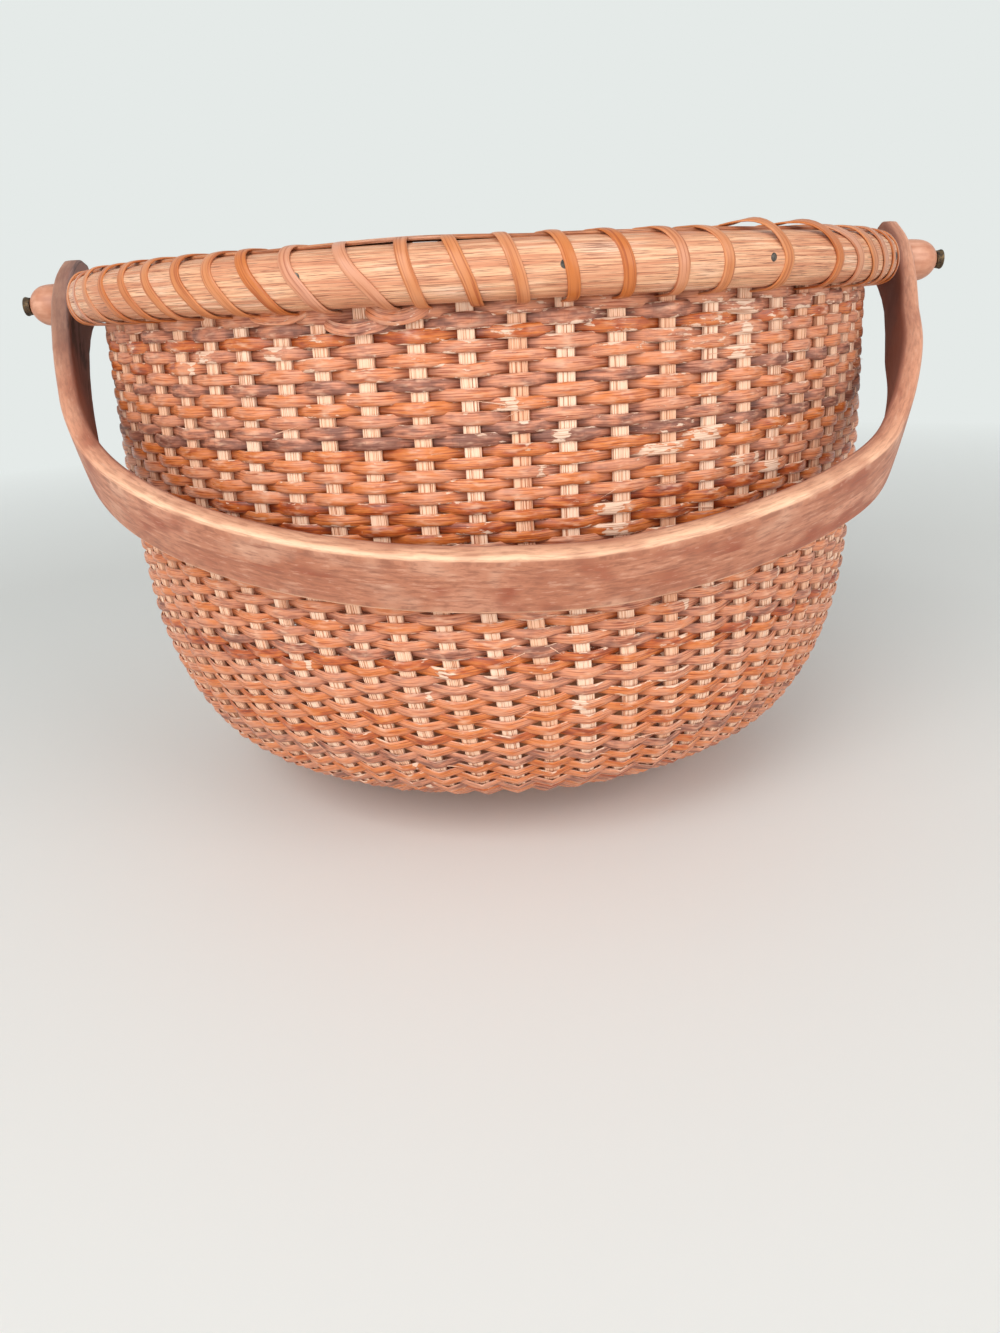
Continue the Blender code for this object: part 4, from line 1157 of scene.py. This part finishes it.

# %% [markdown]
# Years of hands have polished the handle. Its face is a warm tan with brown clouds that lie along
# the grain, and the narrow edges are paler. The inner face, which lies in shade, is painted darker
# as painted shade, most of all at the left ear, where its own colour also turns purple-grey with
# black mottling. Fine lines run with the grain. The stains and clouds are the slow drift at two
# sizes, and the grain makes their borders ragged. The handle's marks say other things than those of
# the cane: the tone mark rises along the arms to the left ear, the wear mark shows the edges, and
# the depth mark the inner face.

# %% Finish: polished wood of the handle
finish = StripFinish("handle_wood")
handle_wood = finish.mat
grain = finish.use(fibres, Length=210.0, Fineness=3600.0, Seed=1.0)
lines = finish.use(fibres, Length=46.0, Fineness=1500.0, Seed=9.0)
stain = finish.use(drift, Tone=0.5, Length=62.0, Strength=2.6, Seed=6.0)
cloud = finish.use(drift, Tone=0.5, Length=26.0, Strength=1.8, Seed=4.0)
ragged = finish.calc("MULTIPLY_ADD", finish.calc("SUBTRACT", grain["Relief"], 0.5), 0.9, stain["Tone"])
wood = finish.ramp(cloud["Tone"], [(0.15, paint(174, 104, 74)), (0.5, paint(190, 124, 94)),
                                   (0.85, paint(208, 146, 118))])
wood = finish.mix(finish.spread(ragged, 0.56, 0.90, 0.0, 0.85), wood, paint(156, 76, 48))
wood = finish.mix(finish.spread(ragged, 0.36, 0.06, 0.0, 0.50), wood, paint(228, 180, 152))
edge = finish.calc("MULTIPLY", finish.wear, finish.spread(ragged, 0.95, 0.45, 0.45, 0.94))
rubbed = finish.mix(finish.spread(finish.tone, 0.0, 0.36), paint(254, 204, 168), paint(220, 156, 124))
wood = finish.mix(edge, wood, rubbed)
wood = finish.mix(finish.spread(lines["Streak"], 0.45, 0.0, 0.0, 0.45), wood, paint(158, 96, 72))
dark_grain = finish.calc("MULTIPLY", finish.spread(grain["Streak"], 0.50, 0.0, 0.0, 0.62),
                         finish.spread(edge, 0, 1, 1.0, 0.45))
wood = finish.mix(dark_grain, wood, paint(140, 82, 60))
wood = finish.mix(finish.spread(grain["Streak"], 0.70, 1.0, 0.0, 0.26), wood, paint(238, 196, 170))
at_left = finish.spread(finish.tone, 0.55, 1.0, 0.0, 0.62)
wood = finish.mix(at_left, wood, paint(122, 88, 74))
# Painted shade: the inner face, turned to the wall, is painted darker; towards the left ear its own colour
# turns purple-grey.
inner_face_colour_and_shade = finish.mix(at_left, paint(142, 94, 80), paint(146, 130, 130))
wood = finish.mix(finish.calc("MULTIPLY", finish.depth, 0.82), wood, inner_face_colour_and_shade)
smoke = finish.calc("MULTIPLY", finish.calc("MULTIPLY", finish.depth, at_left),
                    finish.spread(lines["Streak"], 0.55, 0.25))
wood = finish.mix(smoke, wood, paint(34, 30, 32))
finish.give("Base Color", wood)
rough = finish.spread(cloud["Tone"], 0.2, 0.8, 0.44, 0.56)
finish.give("Roughness", finish.calc("MULTIPLY_ADD", finish.depth, 0.30, rough))
finish.relief(grain["Relief"], 0.00014)
finish.relief(lines["Relief"], 0.00016)
handle.data.materials.append(handle_wood)
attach(handle, "handle")
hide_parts("handle_bow")

# %% [markdown]
# ## Loose fibres
# An old basket is never tidy: hair-thin fibres spring out where a weaver has split. Each is a fine
# tapering strip that starts in the weave and curls away, and there are more at the right, where
# the weave is most worn.

# %% Build the loose fibres
chance = np.random.default_rng(31)
FIBRES = 90
frays = Bundle()
for _ in range(FIBRES):
    angle = math.radians(chance.choice([chance.uniform(270, 335), chance.uniform(0, 360)], p=[0.45, 0.55]))
    start = chance.uniform(0.06, 0.98) * wall_length[-1]
    length = chance.uniform(0.003, 0.010)
    turn_up = chance.normal(0, 0.35)
    t = np.linspace(0, 1, 9)
    up = np.clip(start + length * t * math.sin(turn_up), 0, wall_length[-1])
    r, z, _, _ = wall_at(up, 0.0003 - 0.0011 * t ** 1.6)
    way = chance.choice([-1, 1])
    line = polar(angle + way * length * t * math.cos(turn_up) / r, r, z)
    size = chance.uniform(0.00006, 0.00014) * (1.05 - t)
    sections = rounded(2.0, 2.0, 0.4)[None] * np.stack([size * 1.6, size], -1)[:, None]
    frays.sweep(line, polar(angle, np.full(9, 1.0), 0.0), sections, np.array([0.8, 0.0, 0.0]))
loose_fibres = frays.as_object("loose_fibres", 60)
loose_fibres.data.materials.append(stave_cane)
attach(loose_fibres, "basket")
print("loose fibres:", FIBRES)

# %% [markdown]
# ## The studio
# A pale floor that sweeps up into a pale wall keeps attention on the basket. Three large soft lamps
# stand in front: one high at the left, one at the right, and one low, which lights the underside of
# the bulge. Far from the basket the paint turns into an even pale glow, and the sky has the same
# pale colour. Only the camera, glosses and glass see that glow, so the background is plain and
# throws no light on the basket, while the floor near it stays paint and holds its shadow.

# %% Floor
BACKDROP = paint(229, 234, 232)
GLOW_START, GLOW_FULL = 0.40, 1.0
FRONT, BACK, HALF_WIDE, COVE, WALL_TOP, FLOOR_DROP = -3.0, 1.0, 4.0, 0.8, 3.0, 0.0002
floor = Bundle()
cove = [(BACK + COVE * math.sin(a), COVE - COVE * math.cos(a)) for a in np.linspace(0.1, math.pi / 2, 10)]
floor_line = [(FRONT, 0.0), (BACK, 0.0)] + cove + [(BACK + COVE, WALL_TOP)]
points = np.array([(x, y, z - FLOOR_DROP) for y, z in floor_line for x in (-HALF_WIDE, HALF_WIDE)])
quads = np.array([(2 * k, 2 * k + 1, 2 * k + 3, 2 * k + 2) for k in range(len(floor_line) - 1)])
floor.keep(points, quads, points[quads.ravel()][:, :2], np.zeros(3))
floor = floor.as_object("studio_floor", 60)


def seen_by_eye(nodes):
    """Return a mask of the rays that see the backdrop: from the camera, in a gloss or through glass."""
    rays = nodes.place("ShaderNodeLightPath").outputs
    bounced = nodes.calc("MAXIMUM", rays["Is Glossy Ray"], rays["Is Transmission Ray"])
    return nodes.calc("MAXIMUM", rays["Is Camera Ray"], bounced)


finish = Finish("studio_paint")
finish.give("Base Color", paint(236, 239, 238))
finish.give("Roughness", 0.6)
spot = finish.place("ShaderNodeTexCoord").outputs["Object"]
away = finish.place("ShaderNodeVectorMath", {0: spot}, operation="LENGTH").outputs["Value"]
far = finish.calc("MULTIPLY", finish.spread(away, GLOW_START, GLOW_FULL), seen_by_eye(finish))
glow = finish.place("ShaderNodeEmission", {"Color": BACKDROP, "Strength": 1.0}).outputs[0]
both = finish.place("ShaderNodeMixShader", {0: far, 1: finish.shader.outputs[0], 2: glow}).outputs[0]
finish.feed(finish.tree.nodes["Material Output"].inputs["Surface"], both)
floor.data.materials.append(finish.mat)
print("floor faces:", len(floor.data.polygons))

# %% Lamps and sky


def lamp(name, place_at, aim_at, size, watts, colour):
    """Stand a soft square lamp and point it."""
    data = bpy.data.lights.new(name, "AREA")
    data.energy, data.size, data.color = watts, size, colour
    obj = bpy.data.objects.new(name, data)
    bpy.context.scene.collection.objects.link(obj)
    away = Matrix.Translation(place_at).to_translation() - Matrix.Translation(aim_at).to_translation()
    obj.location = place_at
    obj.rotation_euler = away.to_track_quat("Z", "Y").to_euler()


lamp("key_lamp", (-0.60, -1.15, 1.05), (0, 0, 0.08), 0.9, 12.2, (1.0, 0.985, 0.96))
lamp("fill_lamp", (0.95, -0.85, 0.55), (0, 0, 0.08), 0.9, 6.7, (1.0, 0.985, 0.97))
lamp("low_lamp", (-0.55, -1.25, 0.25), (0, 0, 0.06), 0.6, 4.2, (1.0, 0.985, 0.96))
world = bpy.data.worlds.new("pale_sky")
bpy.context.scene.world = world
world.use_nodes = True
air = Bench(world.node_tree)
sky = air.tree.nodes["Background"]
air.feed(sky.inputs["Color"], (1.0, 0.985, 0.965, 1.0))
air.feed(sky.inputs["Strength"], 0.44)
backdrop = air.place("ShaderNodeBackground", {"Color": BACKDROP, "Strength": 1.0}).outputs[0]
both = air.place("ShaderNodeMixShader", {0: seen_by_eye(air), 1: sky.outputs[0], 2: backdrop}).outputs[0]
air.feed(air.tree.nodes["World Output"].inputs["Surface"], both)
print("lamps:", [light.name for light in bpy.data.lights])

# %% [markdown]
# ## The camera
# The camera stands close, a little under the rim's height, and looks down at the front of the
# basket. It is also turned by three degrees about its own view, as the photograph is.

# %% Camera
CAMERA_AT = (0.0, -0.3565, 0.1543)
ASIDE, DOWN, ROLL = math.radians(0.16), math.radians(19.84), math.radians(-2.98)
camera_data = bpy.data.cameras.new("camera")
camera_data.sensor_fit = "VERTICAL"
camera_data.sensor_height = 36.0
camera_data.lens = 27.03
camera = bpy.data.objects.new("camera", camera_data)
bpy.context.scene.collection.objects.link(camera)
camera.matrix_world = (Matrix.Translation(CAMERA_AT) @ Matrix.Rotation(ASIDE, 4, "Z")
                       @ Matrix.Rotation(math.pi / 2 - DOWN, 4, "X") @ Matrix.Rotation(ROLL, 4, "Z"))
bpy.context.scene.camera = camera
bpy.context.scene.view_settings.view_transform = "Standard"
print("lens in mm:", round(camera_data.lens, 2))
